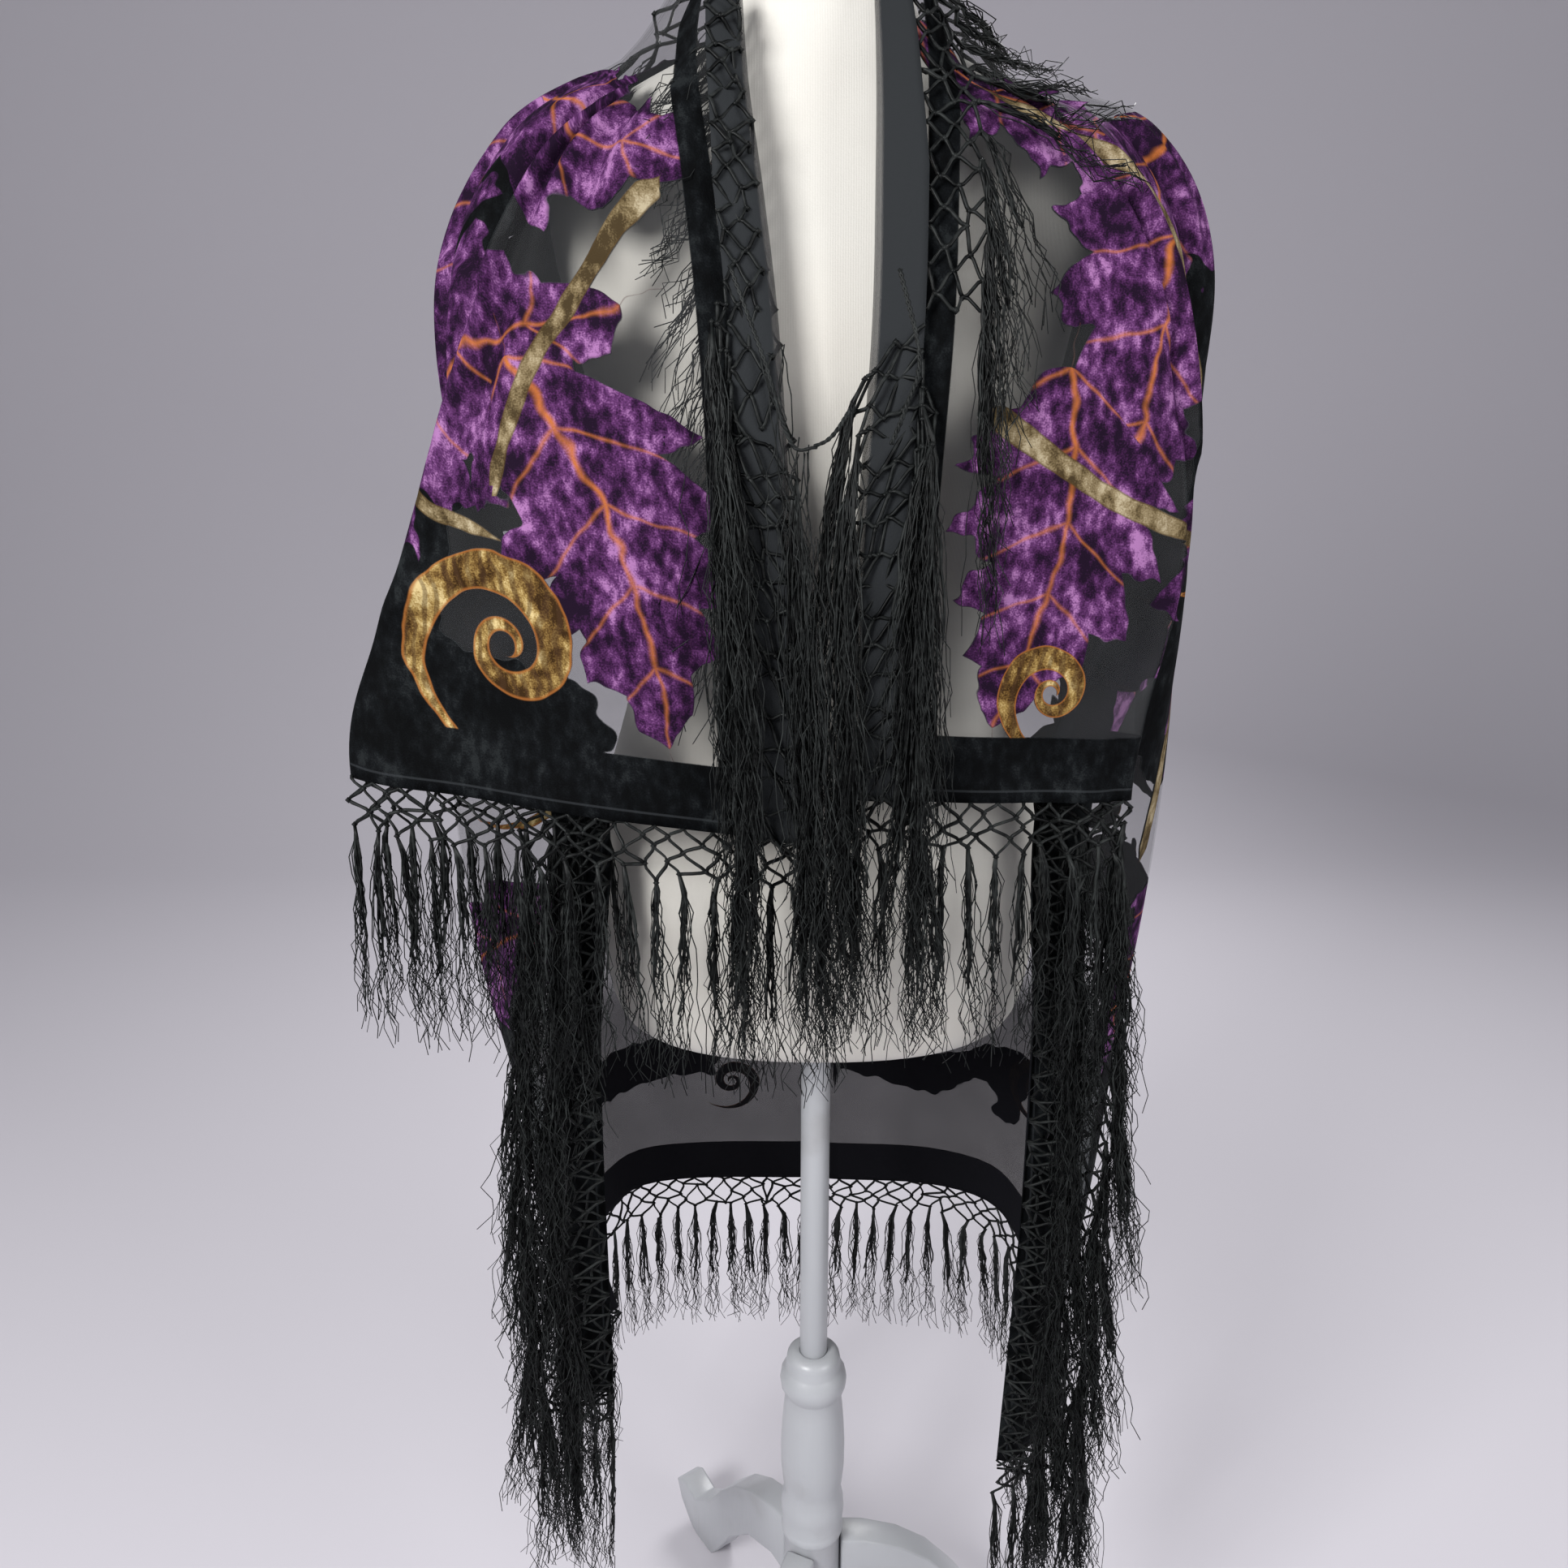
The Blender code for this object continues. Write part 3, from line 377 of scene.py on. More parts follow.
CORNER_EASE = 1.6
FLUTES = 3
FLUTE_TOP, FLUTE_HEM = 0.003, 0.016
PLEAT_PLACE, PLEAT_WIDTH = 0.40, 0.13
print("drape rows", len(LEFT), "columns", len(COLUMNS))

# %% [markdown]
# Between the table's rows the numbers follow a smooth curve, and along a ring a quadratic spline
# rounds off the control points. numpy works out a whole ring at a time.
# %% Rings of the drape


def unit(vectors):
    return vectors / np.maximum(np.linalg.norm(vectors, axis=-1, keepdims=True), 1e-9)


def smooth(value):
    value = np.clip(value, 0.0, 1.0)
    return value * value * (3 - 2 * value)


def table_at(side, t):
    """The drape's row at a level, by column name."""
    table = TABLES[side]
    last = len(table) - 1
    t = min(max(t, 0.0), float(last))
    i = min(int(t), last - 1)
    f = t - i
    before, start = table[max(i - 1, 0)], table[i]
    end, after = table[i + 1], table[min(i + 2, last)]
    out_slope = (end - before) / 2 if i > 0 else end - start
    in_slope = (after - start) / 2 if i + 2 <= last else end - start
    rise = 3 * f * f - 2 * f ** 3
    row = start + (end - start) * rise + out_slope * (f - 2 * f * f + f ** 3)
    row = row + in_slope * (f ** 3 - f * f)
    return dict(zip(COLUMNS, row))


def signed_power(value, power):
    return math.copysign(abs(value) ** power, value)


def oval_plan(row, angle):
    across = row["half_width"] * signed_power(math.sin(angle), 2 / OVAL_POWER)
    forward = signed_power(math.cos(angle), 2 / OVAL_POWER)
    depth = row["front_depth"] if forward > 0 else row["back_depth"]
    return np.array([across, -forward * depth, 0.0])


def ring_controls(side, t):
    row = table_at(side, t)
    opening = np.array([row["open_x"], row["open_y"], row["open_z"]])
    fold = np.array([row["fold_x"], row["fold_y"], row["fold_z"]])
    middle = opening + (fold - opening) * MID_SHARE + np.array([0, -FRONT_BULGE, 0])
    reach = min(row["tuck_x"] / row["half_width"], 0.999)
    tuck_angle = math.asin(reach ** (OVAL_POWER / 2))
    tuck = oval_plan(row, tuck_angle) + np.array([0, 0, row["tuck_z"]])
    back = []
    for step in range(1, BACK_CONTROLS + 1):
        share = step / BACK_CONTROLS
        place = oval_plan(row, tuck_angle + (math.pi - tuck_angle) * share)
        place[2] = row["back_z"] + (row["tuck_z"] - row["back_z"]) * (1 - share) ** CORNER_EASE
        back.append(place)
    back[-1][0] = 0.0
    back[-1][1] = back[-2][1]
    fold_turn = unit(unit(fold - middle) + unit(tuck - fold)) * FOLD_RADIUS
    tuck_turn = unit(unit(tuck - fold) + unit(back[0] - tuck)) * FOLD_RADIUS
    ring = [opening, middle, fold - fold_turn, fold + fold_turn, tuck - tuck_turn, tuck + tuck_turn]
    return np.array(ring + back), row["pleat"]


def ring_base(controls, u):
    """Places on a ring for an array of ring parameters."""
    last = len(controls) - 1
    u = np.clip(u, 1.0, float(last))
    k = np.minimum(u.astype(int), last - 1)
    s = (u - k)[:, None]
    middles = (controls[:-1] + controls[1:]) / 2
    start = np.where((k == 1)[:, None], controls[0], middles[k - 1])
    end = np.where((k == last - 1)[:, None], controls[last], middles[k])
    return start * (1 - s) ** 2 + controls[k] * (2 * s * (1 - s)) + end * s ** 2


print("controls on half a ring", len(ring_controls(1, float(HEM_T))[0]))

# %% [markdown]
# ## Folds
# Cloth pulled over a shoulder makes long soft ridges that fan out from it, uneven in length, height
# and width. Each row here is one ridge or, with a negative height, one trough: from and to a place
# on the cloth, then its height and half width in metres. The lower part hangs in soft flutes.
# %% Folds
FOLDS = {
    -1: (
        (2.5, 1.6, 2.2, 3.6, 0.006, 0.020),
        (3.1, 1.4, 2.8, 4.2, 0.008, 0.024),
        (4.2, 1.5, 4.6, 3.8, 0.007, 0.024),
        (2.10, 1.2, 1.75, 2.6, 0.0045, 0.011),
        (2.35, 1.1, 2.05, 3.0, -0.004, 0.010),
        (2.62, 1.2, 2.50, 2.9, 0.005, 0.009),
        (2.85, 1.3, 2.45, 3.4, -0.0045, 0.009),
        (3.20, 1.2, 2.95, 2.8, 0.005, 0.010),
        (3.55, 1.3, 3.6, 3.3, -0.005, 0.012),
        (3.9, 1.4, 4.1, 3.6, 0.004, 0.012),
        (2.4, 3.1, 1.7, 4.3, 0.0045, 0.014),
        (2.8, 3.4, 2.1, 4.7, -0.004, 0.013),
        (1.9, 3.9, 2.7, 4.2, 0.003, 0.010),
        (5.2, 1.4, 5.8, 4.4, 0.004, 0.016),
        (6.2, 1.2, 6.4, 4.8, -0.004, 0.018),
        (7.3, 1.0, 7.6, 3.6, 0.004, 0.020),
        (8.6, 0.9, 9.0, 3.1, 0.003, 0.018),
    ),
    1: (
        (2.6, 1.4, 2.4, 3.4, 0.006, 0.022),
        (3.6, 1.5, 3.4, 4.2, 0.007, 0.024),
        (2.15, 1.3, 1.9, 2.7, 0.003, 0.011),
        (2.75, 1.2, 2.9, 3.1, 0.005, 0.009),
        (2.95, 1.3, 3.05, 4.6, -0.004, 0.010),
        (3.3, 1.2, 3.5, 3.6, 0.005, 0.011),
        (2.5, 2.9, 2.2, 4.4, 0.0035, 0.013),
        (1.9, 3.4, 2.5, 3.8, 0.0025, 0.012),
        (1.7, 4.2, 2.0, 4.9, -0.0025, 0.014),
        (2.75, 3.6, 2.72, 5.0, 0.004, 0.010),
        (4.4, 1.4, 4.6, 4.0, -0.004, 0.015),
        (5.6, 1.3, 5.9, 4.6, 0.004, 0.017),
        (6.7, 1.1, 6.9, 3.9, -0.004, 0.018),
        (8.1, 0.9, 8.3, 3.4, 0.003, 0.020),
    ),
}
U_METRES = 0.055
T_METRES = 0.120
MAIN_FOLD_WIDTH = 0.020
SMALL_FOLD_SHARE = 1.5


def fold_offset(side, t, u):
    """How far the folds lift the cloth at a level, for an array of ring parameters."""
    total = np.zeros_like(u)
    for u_from, t_from, u_to, t_to, height, width in FOLDS[side]:
        height = height if width >= MAIN_FOLD_WIDTH else height * SMALL_FOLD_SHARE
        start = np.array([u_from * U_METRES, t_from * T_METRES])
        run = np.array([u_to * U_METRES, t_to * T_METRES]) - start
        place = np.stack([u * U_METRES, np.full_like(u, t * T_METRES)], 1) - start
        along = np.clip(place @ run / (run @ run), 0.0, 1.0)
        aside = place - along[:, None] * run
        total += height * np.exp(-(aside ** 2).sum(1) / width ** 2)
    return total


RIPPLES = (
    (3.1, 0.9, 0.0024, 0.4),
    (5.3, -0.6, 0.0018, 2.1),
    (8.7, 0.5, 0.0011, 4.0),
)


def wave_offset(side, t, u, pleat):
    """Flutes and the pleat of the back and wings, and small ripples that grow down the cloth."""
    share = np.clip((u - TUCK_U) / (CENTRE_U - TUCK_U), 0.0, 1.0)
    height = FLUTE_TOP + (FLUTE_HEM - FLUTE_TOP) * smooth((t - 2.0) / (LOW_T - 2.0))
    flute = height * (1 - np.cos(2 * np.pi * FLUTES * share)) / 2
    inward = pleat * np.exp(-((share - PLEAT_PLACE) / PLEAT_WIDTH) ** 2)
    ripple = np.zeros_like(u)
    for waves, lean, size, start in RIPPLES:
        ripple += size * np.sin(waves * (u + lean * t * 0.4) + start + side * 0.7)
    calm = smooth((u - 1.4) / 0.8) * smooth((CENTRE_U - u) / 1.0)
    return flute - inward + ripple * calm * (0.4 + 0.6 * smooth(t / 5.0))


def cloth_ring(side, t, u):
    """The cloth's middle surface at one level, for an array of ring parameters."""
    controls, pleat = ring_controls(side, t)
    place = ring_base(controls, u)
    along = ring_base(controls, u + 0.02) - ring_base(controls, u - 0.02)
    outward = unit(np.stack([along[:, 1], -along[:, 0], np.zeros(len(u))], 1))
    lift = wave_offset(side, t, u, pleat) + fold_offset(side, t, u)
    place = place + outward * lift[:, None]
    place[:, 0] = np.where(u >= CENTRE_U, 0.0, place[:, 0]) * side
    return place + AXIS


print("folds placed by hand", sum(len(rows) for rows in FOLDS.values()))

# %% [markdown]
# The rings are stacked into one fine grid for each side, with cells of about 5 mm. Its arc lengths
# give each point a place on the flat cloth: how far it is from the front edge, and how far above the
# front hem. The pattern and the borders use those, so they bend with the cloth.
# %% Grids of both sides
ROWS_A_LEVEL = 24
CELLS_BETWEEN = (16, 18, 9, 9, 12, 11, 11, 10, 9)
T_PLACES = np.arange(LOW_T * ROWS_A_LEVEL + 1) / ROWS_A_LEVEL
U_PLACES = np.concatenate(
    [[float(OPEN_U)]] + [OPEN_U + k + np.arange(1, n + 1) / n for k, n in enumerate(CELLS_BETWEEN)]
)
HEM_ROW = HEM_T * ROWS_A_LEVEL


def column_at(u):
    return int(np.searchsorted(U_PLACES, u - 1e-6))


def grid_normals(points, side):
    down = np.gradient(points, axis=0)
    along = np.gradient(points, axis=1)
    return unit(np.cross(down, along)) * side


def arc(points, axis):
    """Distance walked along an axis of a grid."""
    strides = np.linalg.norm(np.diff(points, axis=axis), axis=2)
    start = np.zeros_like(strides[:1] if axis == 0 else strides[:, :1])
    return np.concatenate([start, np.cumsum(strides, axis=axis)], axis=axis)


GRID, NORMAL, FLAT_X, FLAT_Y = {}, {}, {}, {}
for side in (-1, 1):
    GRID[side] = np.array([cloth_ring(side, t, U_PLACES) for t in T_PLACES])
    NORMAL[side] = grid_normals(GRID[side], side)
    FLAT_X[side] = arc(GRID[side], 1)
    fall = arc(GRID[side], 0)
    FLAT_Y[side] = fall[HEM_ROW] - fall
print("grid", GRID[1].shape, "half the ring at the waist", FLAT_X[1][4 * ROWS_A_LEVEL, -1].round(3))

# %% [markdown]
# ## The turned-back edge
# Both fronts turn their top edge outward as a narrow lapel, so its wrong side shows. It follows the
# panel at a small height, then rounds back into it at the opening.
# %% Lapels
LAPEL_WIDTH = 0.028
LAPEL_TOP_WIDTH = 0.014
LAPEL_FULL_T = 2.0
LAPEL_LIFT = 0.0072
LAPEL_FLAT_CELLS = 6
LAPEL_TURN_CELLS = 4


def along_row(side, row, distances):
    """Places and normals on one grid row at walked distances from the front edge."""
    walked = FLAT_X[side][row]
    place = np.stack([np.interp(distances, walked, GRID[side][row, :, k]) for k in range(3)], 1)
    normal = np.stack([np.interp(distances, walked, NORMAL[side][row, :, k]) for k in range(3)], 1)
    return place, unit(normal)


def lapel_width(row):
    share = min(row / ROWS_A_LEVEL / LAPEL_FULL_T, 1.0)
    return LAPEL_TOP_WIDTH + (LAPEL_WIDTH - LAPEL_TOP_WIDTH) * share


def lapel_row(side, row):
    """Places from the lapel's free edge to its turn, and their distance from the front edge."""
    flat = lapel_width(row) * (1 - np.arange(LAPEL_FLAT_CELLS + 1) / LAPEL_FLAT_CELLS)
    place, normal = along_row(side, row, flat)
    places = list(place + normal * LAPEL_LIFT)
    edge, normal = GRID[side][row, 0], NORMAL[side][row, 0]
    inward = unit(edge - GRID[side][row, 2])
    for step in range(1, LAPEL_TURN_CELLS):
        angle = math.pi * (1 - step / LAPEL_TURN_CELLS)
        lift = normal * (LAPEL_LIFT / 2 * (1 - math.cos(angle)))
        places.append(edge + lift + inward * (LAPEL_LIFT / 2 * math.sin(angle)))
    return np.array(places), np.concatenate([-flat, np.zeros(LAPEL_TURN_CELLS - 1)])


print("lapel cells", LAPEL_FLAT_CELLS + LAPEL_TURN_CELLS)

# %% [markdown]
# ## The burnout pattern
# In burnout velvet the pile is eaten away round the pattern, so leaves and scrolls stay as thick
# velvet on sheer cloth. The design is a plain one of this file's own: toothed leaves, curled scrolls,
# bare branches and black patches. Each motif is a row with its chart (the side it lies on, or 0 for
# the back), its middle on the flat cloth, its size in metres and its turn in degrees.
# %% Motifs
LEAVES = (
    (-1, 0.150, 0.470, 0.270, 205, 1),
    (-1, 0.225, 0.250, 0.300, 152, -1),
    (-1, 0.300, 0.430, 0.250, 120, 1),
    (-1, 0.125, 0.170, 0.250, 250, -1),
    (-1, 0.420, 0.330, 0.290, 98, -1),
    (-1, 0.480, 0.120, 0.260, 60, 1),
    (1, 0.120, 0.440, 0.230, 330, 1),
    (1, 0.215, 0.330, 0.300, 250, -1),
    (1, 0.105, 0.165, 0.230, 262, 1),
    (1, 0.320, 0.420, 0.270, 285, 1),
    (1, 0.300, 0.120, 0.270, 262, -1),
    (1, 0.440, 0.250, 0.290, 100, -1),
    (1, 0.470, 0.060, 0.240, 140, 1),
    (0, -0.110, 0.330, 0.300, 70, 1),
    (0, 0.130, 0.300, 0.300, 120, -1),
    (0, 0.020, 0.080, 0.320, 95, 1),
    (0, -0.150, -0.080, 0.260, 40, -1),
    (0, 0.160, -0.100, 0.260, 150, 1),
    (-1, 0.480, -0.180, 0.240, 300, 1),
    (1, 0.470, -0.200, 0.240, 240, -1),
)
SCROLLS = (
    (-1, 0.385, 0.150, 0.85, 20, 1),
    (-1, 0.185, 0.105, 0.95, 200, -1),
    (1, 0.385, 0.190, 0.80, 150, -1),
    (1, 0.130, 0.075, 0.55, 30, 1),
    (0, 0.000, -0.200, 1.10, 90, 1),
    (0, -0.030, 0.460, 0.90, 250, -1),
    (-1, 0.560, 0.030, 0.90, 10, 1),
    (1, 0.540, -0.060, 0.90, 190, -1),
    (0, 0.235, -0.365, 0.45, 30, 1),
    (0, -0.080, -0.392, 0.40, 150, -1),
)
BRANCHES = (
    (-1, 0.060, 0.400, 0.260, 300, 0.020),
    (1, 0.060, 0.480, 0.330, 318, 0.030),
    (1, 0.070, 0.250, 0.240, 340, -0.016),
    (-1, 0.360, 0.280, 0.220, 210, 0.020),
    (0, -0.200, 0.150, 0.300, 30, 0.030),
    (1, 0.400, -0.080, 0.260, 75, 0.025),
)
BLACK_PATCHES = (
    (-1, 0.330, 0.200, 0.110, 0.160),
    (-1, 0.250, 0.350, 0.060, 0.100),
    (-1, 0.290, 0.060, 0.150, 0.050),
    (-1, 0.400, 0.050, 0.080, 0.120),
    (1, 0.290, 0.280, 0.070, 0.120),
    (1, 0.400, 0.100, 0.090, 0.110),
    (0, 0.000, 0.200, 0.170, 0.100),
    (0, -0.140, -0.180, 0.090, 0.070),
    (0, 0.150, -0.190, 0.090, 0.070),
    (-1, 0.480, -0.300, 0.060, 0.110),
    (1, 0.470, -0.320, 0.060, 0.130),
    (0, 0.110, -0.368, 0.125, 0.024),
    (0, 0.205, -0.385, 0.020, 0.032),
    (0, -0.170, -0.362, 0.110, 0.022),
)
# How far round its middle each kind of motif keeps the cloth for itself, and the mark of the rest
LEAF_CLAIM, SCROLL_CLAIM, BRANCH_CLAIM = 1.25, 0.15, 1.3
UNCLAIMED = -1.0
LEAF_NAMES = ("leaf_a", "leaf_b", "leaf_c")


def chart_places(side, flat_x, flat_y, half):
    """Each point's place on its side's chart and on the back's chart."""
    back_x = (half - flat_x) * side
    return {side: (flat_x, flat_y), 0: (back_x, flat_y)}


def local_places(charts, chart, x, y, turn):
    """Places seen from a motif's middle, turned with it; far away on other charts."""
    if chart not in charts:
        return None
    away_x, away_y = charts[chart][0] - x, charts[chart][1] - y
    c, s = math.cos(math.radians(turn)), math.sin(math.radians(turn))
    return away_x * c + away_y * s, away_y * c - away_x * s


def leaf_place(charts, number):
    """Along, aside and length in the leaf's own terms, and its reach: 1 at its tips and sides."""
    chart, x, y, length, turn, hand = LEAVES[number]
    local = local_places(charts, chart, x, y, turn)
    if local is None:
        return None
    along, aside = local[0] / length + 0.5, local[1] / length * hand
    return along, aside, length, np.maximum(abs(along - 0.5) / 0.5, abs(aside) / 0.36)


def scroll_place(charts, number):
    chart, x, y, size, turn, hand = SCROLLS[number]
    local = local_places(charts, chart, x, y, turn)
    if local is None:
        return None
    return local[0] / size, local[1] / size * hand, size, np.hypot(*local) / size


def branch_place(charts, number):
    chart, x, y, length, turn, bow = BRANCHES[number]
    local = local_places(charts, chart, x, y, turn)
    if local is None:
        return None
    along = local[0] / length
    aside = local[1] - bow * np.sin(np.pi * np.clip(along, 0, 1))
    return along, aside, length, np.maximum(abs(along - 0.5) / 0.5, abs(aside) / 0.03)


def nearest(charts, shape, numbers, place_of, claim):
    """For each point the nearest motif's three own numbers and its mark, where one claims it."""
    best = np.full(shape, claim)
    found = np.full((*shape, 4), 9.0)
    found[..., 3] = UNCLAIMED
    for number in numbers:
        placed = place_of(charts, number)
        if placed is None:
            continue
        along, aside, size, reach = placed
        closer = reach < best
        best = np.where(closer, reach, best)
        own = [along, aside, np.full(shape, size), np.full(shape, float(number))]
        found[closer] = np.stack(own, -1)[closer]
    return found


def black_depth(charts, shape):
    """How far inside a black patch a point is, in metres, or outside it if negative."""
    depth = np.full(shape, -0.2)
    for chart, x, y, half_x, half_y in BLACK_PATCHES:
        local = local_places(charts, chart, x, y, 0.0)
        if local is None:
            continue
        inside = (1 - np.hypot(local[0] / half_x, local[1] / half_y)) * min(half_x, half_y)
        depth = np.maximum(depth, inside)
    return depth


def leaf_sets():
    """The leaves in three sets, so that those of one set claim hardly any of the same cloth."""
    claims = []
    for number in range(len(LEAVES)):
        masks = []
        for side in (-1, 1):
            half = np.repeat(FLAT_X[side][:, -1:], FLAT_X[side].shape[1], 1)
            placed = leaf_place(chart_places(side, FLAT_X[side], FLAT_Y[side], half), number)
            masks.append(np.zeros(half.shape, bool) if placed is None else placed[3] < LEAF_CLAIM)
        claims.append(np.concatenate(masks, 1))
    sets = [[] for _ in LEAF_NAMES]
    covered = [np.zeros(claims[0].shape, bool) for _ in LEAF_NAMES]
    for number, claim in enumerate(claims):
        shared = [int((claim & cover).sum()) for cover in covered]
        k = shared.index(min(shared))
        if shared[k]:
            print("leaf", number, "shares", shared[k], "points with another of its set")
        sets[k].append(number)
        covered[k] |= claim
    return sets


LEAF_SETS = leaf_sets()
print("motifs", len(LEAVES), "leaves", len(SCROLLS), "scrolls", len(BRANCHES), "branches")

# %% [markdown]
# ## Cloth as one mesh
# The rows of both sides join at mid back, and the lapels at the fronts. Every point carries what the
# pattern needs as attributes, because the shader can then draw crisp edges between points.
# %% Cloth grid
# Below this height over the front hem the sheer cloth hangs in the form's shade and looks denser:
# its opacity is raised there as painted shade
DEEP_FROM, DEEP_FADE = -0.20, 0.10


def edge_distance(side, flat_x, flat_y):
    """Distance to the nearest cut edge: the hems, and the wing's inner edge below the front hem."""
    tuck = column_at(TUCK_U)
    rows, columns = flat_x.shape
    row_number = np.arange(rows)[:, None]
    column_number = np.arange(columns)[None, :]
    beside = flat_x - flat_x[:, tuck:tuck + 1]
    above_low_hem = flat_y - flat_y[-1:, :]
    above_front_hem = np.where(column_number <= tuck, flat_y, np.hypot(flat_y, beside))
    upper = np.where(row_number <= HEM_ROW, above_front_hem, beside)
    lower = np.where(column_number >= tuck, above_low_hem, 9.0)
    return np.minimum(upper, lower)


def side_fields(side):
    """Places, presence and attributes of one side, from the lapel's free edge to mid back."""
    shape = FLAT_X[side].shape
    half = np.repeat(FLAT_X[side][:, -1:], shape[1], 1)
    fields = {"edge": edge_distance(side, FLAT_X[side], FLAT_Y[side]), "top": FLAT_X[side]}
    lapels = [lapel_row(side, row) for row in range(HEM_ROW + 1)]
    width = LAPEL_FLAT_CELLS + LAPEL_TURN_CELLS
    lapel_places = np.zeros((shape[0], width, 3))
    lapel_x = np.zeros((shape[0], width))
    for row, (places, distances) in enumerate(lapels):
        lapel_places[row], lapel_x[row] = places, distances
    places = np.concatenate([lapel_places, GRID[side]], 1)
    flat_x = np.concatenate([lapel_x, FLAT_X[side]], 1)
    flat_y = np.concatenate([np.repeat(FLAT_Y[side][:, :1], width, 1), FLAT_Y[side]], 1)
    edge = np.concatenate([flat_y[:, :width], fields["edge"]], 1)
    half = np.concatenate([np.repeat(half[:, :1], width, 1), half], 1)
    charts = chart_places(side, flat_x, flat_y, half)
    present = np.ones(flat_x.shape, bool)
    present[HEM_ROW + 1:, : width + column_at(TUCK_U)] = False
    full = flat_x.shape
    leaves = [nearest(charts, full, numbers, leaf_place, LEAF_CLAIM) for numbers in LEAF_SETS]
    leaf_numbers = {name: leaf[..., :3] for name, leaf in zip(LEAF_NAMES, leaves)}
    scroll = nearest(charts, full, range(len(SCROLLS)), scroll_place, SCROLL_CLAIM)
    branch = nearest(charts, full, range(len(BRANCHES)), branch_place, BRANCH_CLAIM)
    return {
        "place": places,
        "present": present,
        "edge": edge,
        "top": flat_x,
        "black": black_depth(charts, full),
        "deep": smooth((DEEP_FROM - flat_y) / DEEP_FADE),
        **leaf_numbers,
        "leaf_marks": np.stack([leaf[..., 3] for leaf in leaves], -1),
        "scroll": scroll[..., :3],
        "branch": branch[..., :3],
        "other_marks": np.stack([scroll[..., 3], branch[..., 3], np.zeros(full)], -1),
        "flat": np.stack([flat_x * side, flat_y, np.full(full, side * 0.3)], -1),
    }


left_fields, right_fields = side_fields(-1), side_fields(1)
CLOTH = {
    name: np.concatenate([left_fields[name], right_fields[name][:, ::-1][:, 1:]], 1)
    for name in left_fields
}
print("cloth grid", CLOTH["edge"].shape)

# %% [markdown]
# A mesh with tens of thousands of faces is filled fastest from whole arrays. Faces are given as
# groups of polygons that all have the same number of corners.
# %% Mesh from arrays


def mesh_from_arrays(name, points, groups):
    mesh = bpy.data.meshes.new(name)
    mesh.vertices.add(len(points))
    mesh.vertices.foreach_set("co", np.asarray(points, np.float32).ravel())
    corners = np.concatenate([group.ravel() for group in groups]).astype(np.int32)
    sizes = np.concatenate([np.full(len(group), group.shape[1]) for group in groups])
    starts = np.concatenate([[0], np.cumsum(sizes)[:-1]]).astype(np.int32)
    mesh.loops.add(len(corners))
    mesh.loops.foreach_set("vertex_index", corners)
    mesh.polygons.add(len(sizes))
    mesh.polygons.foreach_set("loop_start", starts)
    mesh.update(calc_edges=True)
    mesh.validate()
    mesh.shade_smooth()
    return mesh


def add_mesh_object(name, mesh):
    obj = bpy.data.objects.new(name, mesh)
    bpy.context.scene.collection.objects.link(obj)
    return obj


def store(mesh, name, values):
    """Keeps numbers or vectors on a mesh's points under a name that shaders can read."""
    kind, key = ("FLOAT", "value") if values.ndim == 1 else ("FLOAT_VECTOR", "vector")
    attribute = mesh.attributes.new(name, kind, "POINT")
    attribute.data.foreach_set(key, np.asarray(values, np.float32).ravel())


def build_cloth():
    present = CLOTH["present"]
    number = np.cumsum(present.ravel()).reshape(present.shape) - 1
    whole = present[:-1, :-1] & present[1:, :-1] & present[1:, 1:] & present[:-1, 1:]
    corners = (number[:-1, :-1], number[:-1, 1:], number[1:, 1:], number[1:, :-1])
    faces = np.stack([corner[whole] for corner in corners], 1)
    mesh = mesh_from_arrays("shawl_cloth", CLOTH["place"][present], [faces])
    for name, values in CLOTH.items():
        if name not in ("place", "present"):
            store(mesh, name, values[present])
    return add_mesh_object("shawl_cloth", mesh)


cloth = build_cloth()
print("cloth faces", len(cloth.data.polygons))

# %% [markdown]
# ## Outlines of the motifs
# Where the pile was left standing is worked out in the shader and not in the mesh, so that outlines
# stay crisp between points. A leaf is a bowed half width with teeth cut into it, a scroll is a band
# along a spiral that widens as it unwinds, and a branch is a tapering line. Each function says how
# deep inside its outline a point is, in metres, and that is negative outside.
# %% Outlines of the motifs
# Shares of a leaf's length: its bow, its half width and how far the teeth cut into that
LEAF_BOW, LEAF_WOBBLE, LEAF_HALF_WIDTH, TOOTH_DEPTH = 0.09, 0.060, 0.335, 0.13
TEETH, TOOTH_SLANT = 5.0, 3.2
SCROLL_GROWTH, SCROLL_EYE, SCROLL_BAND = 0.20, 0.0095, 0.36
BRANCH_HALF_WIDTH, BRANCH_TAPER = 0.0085, 0.0040


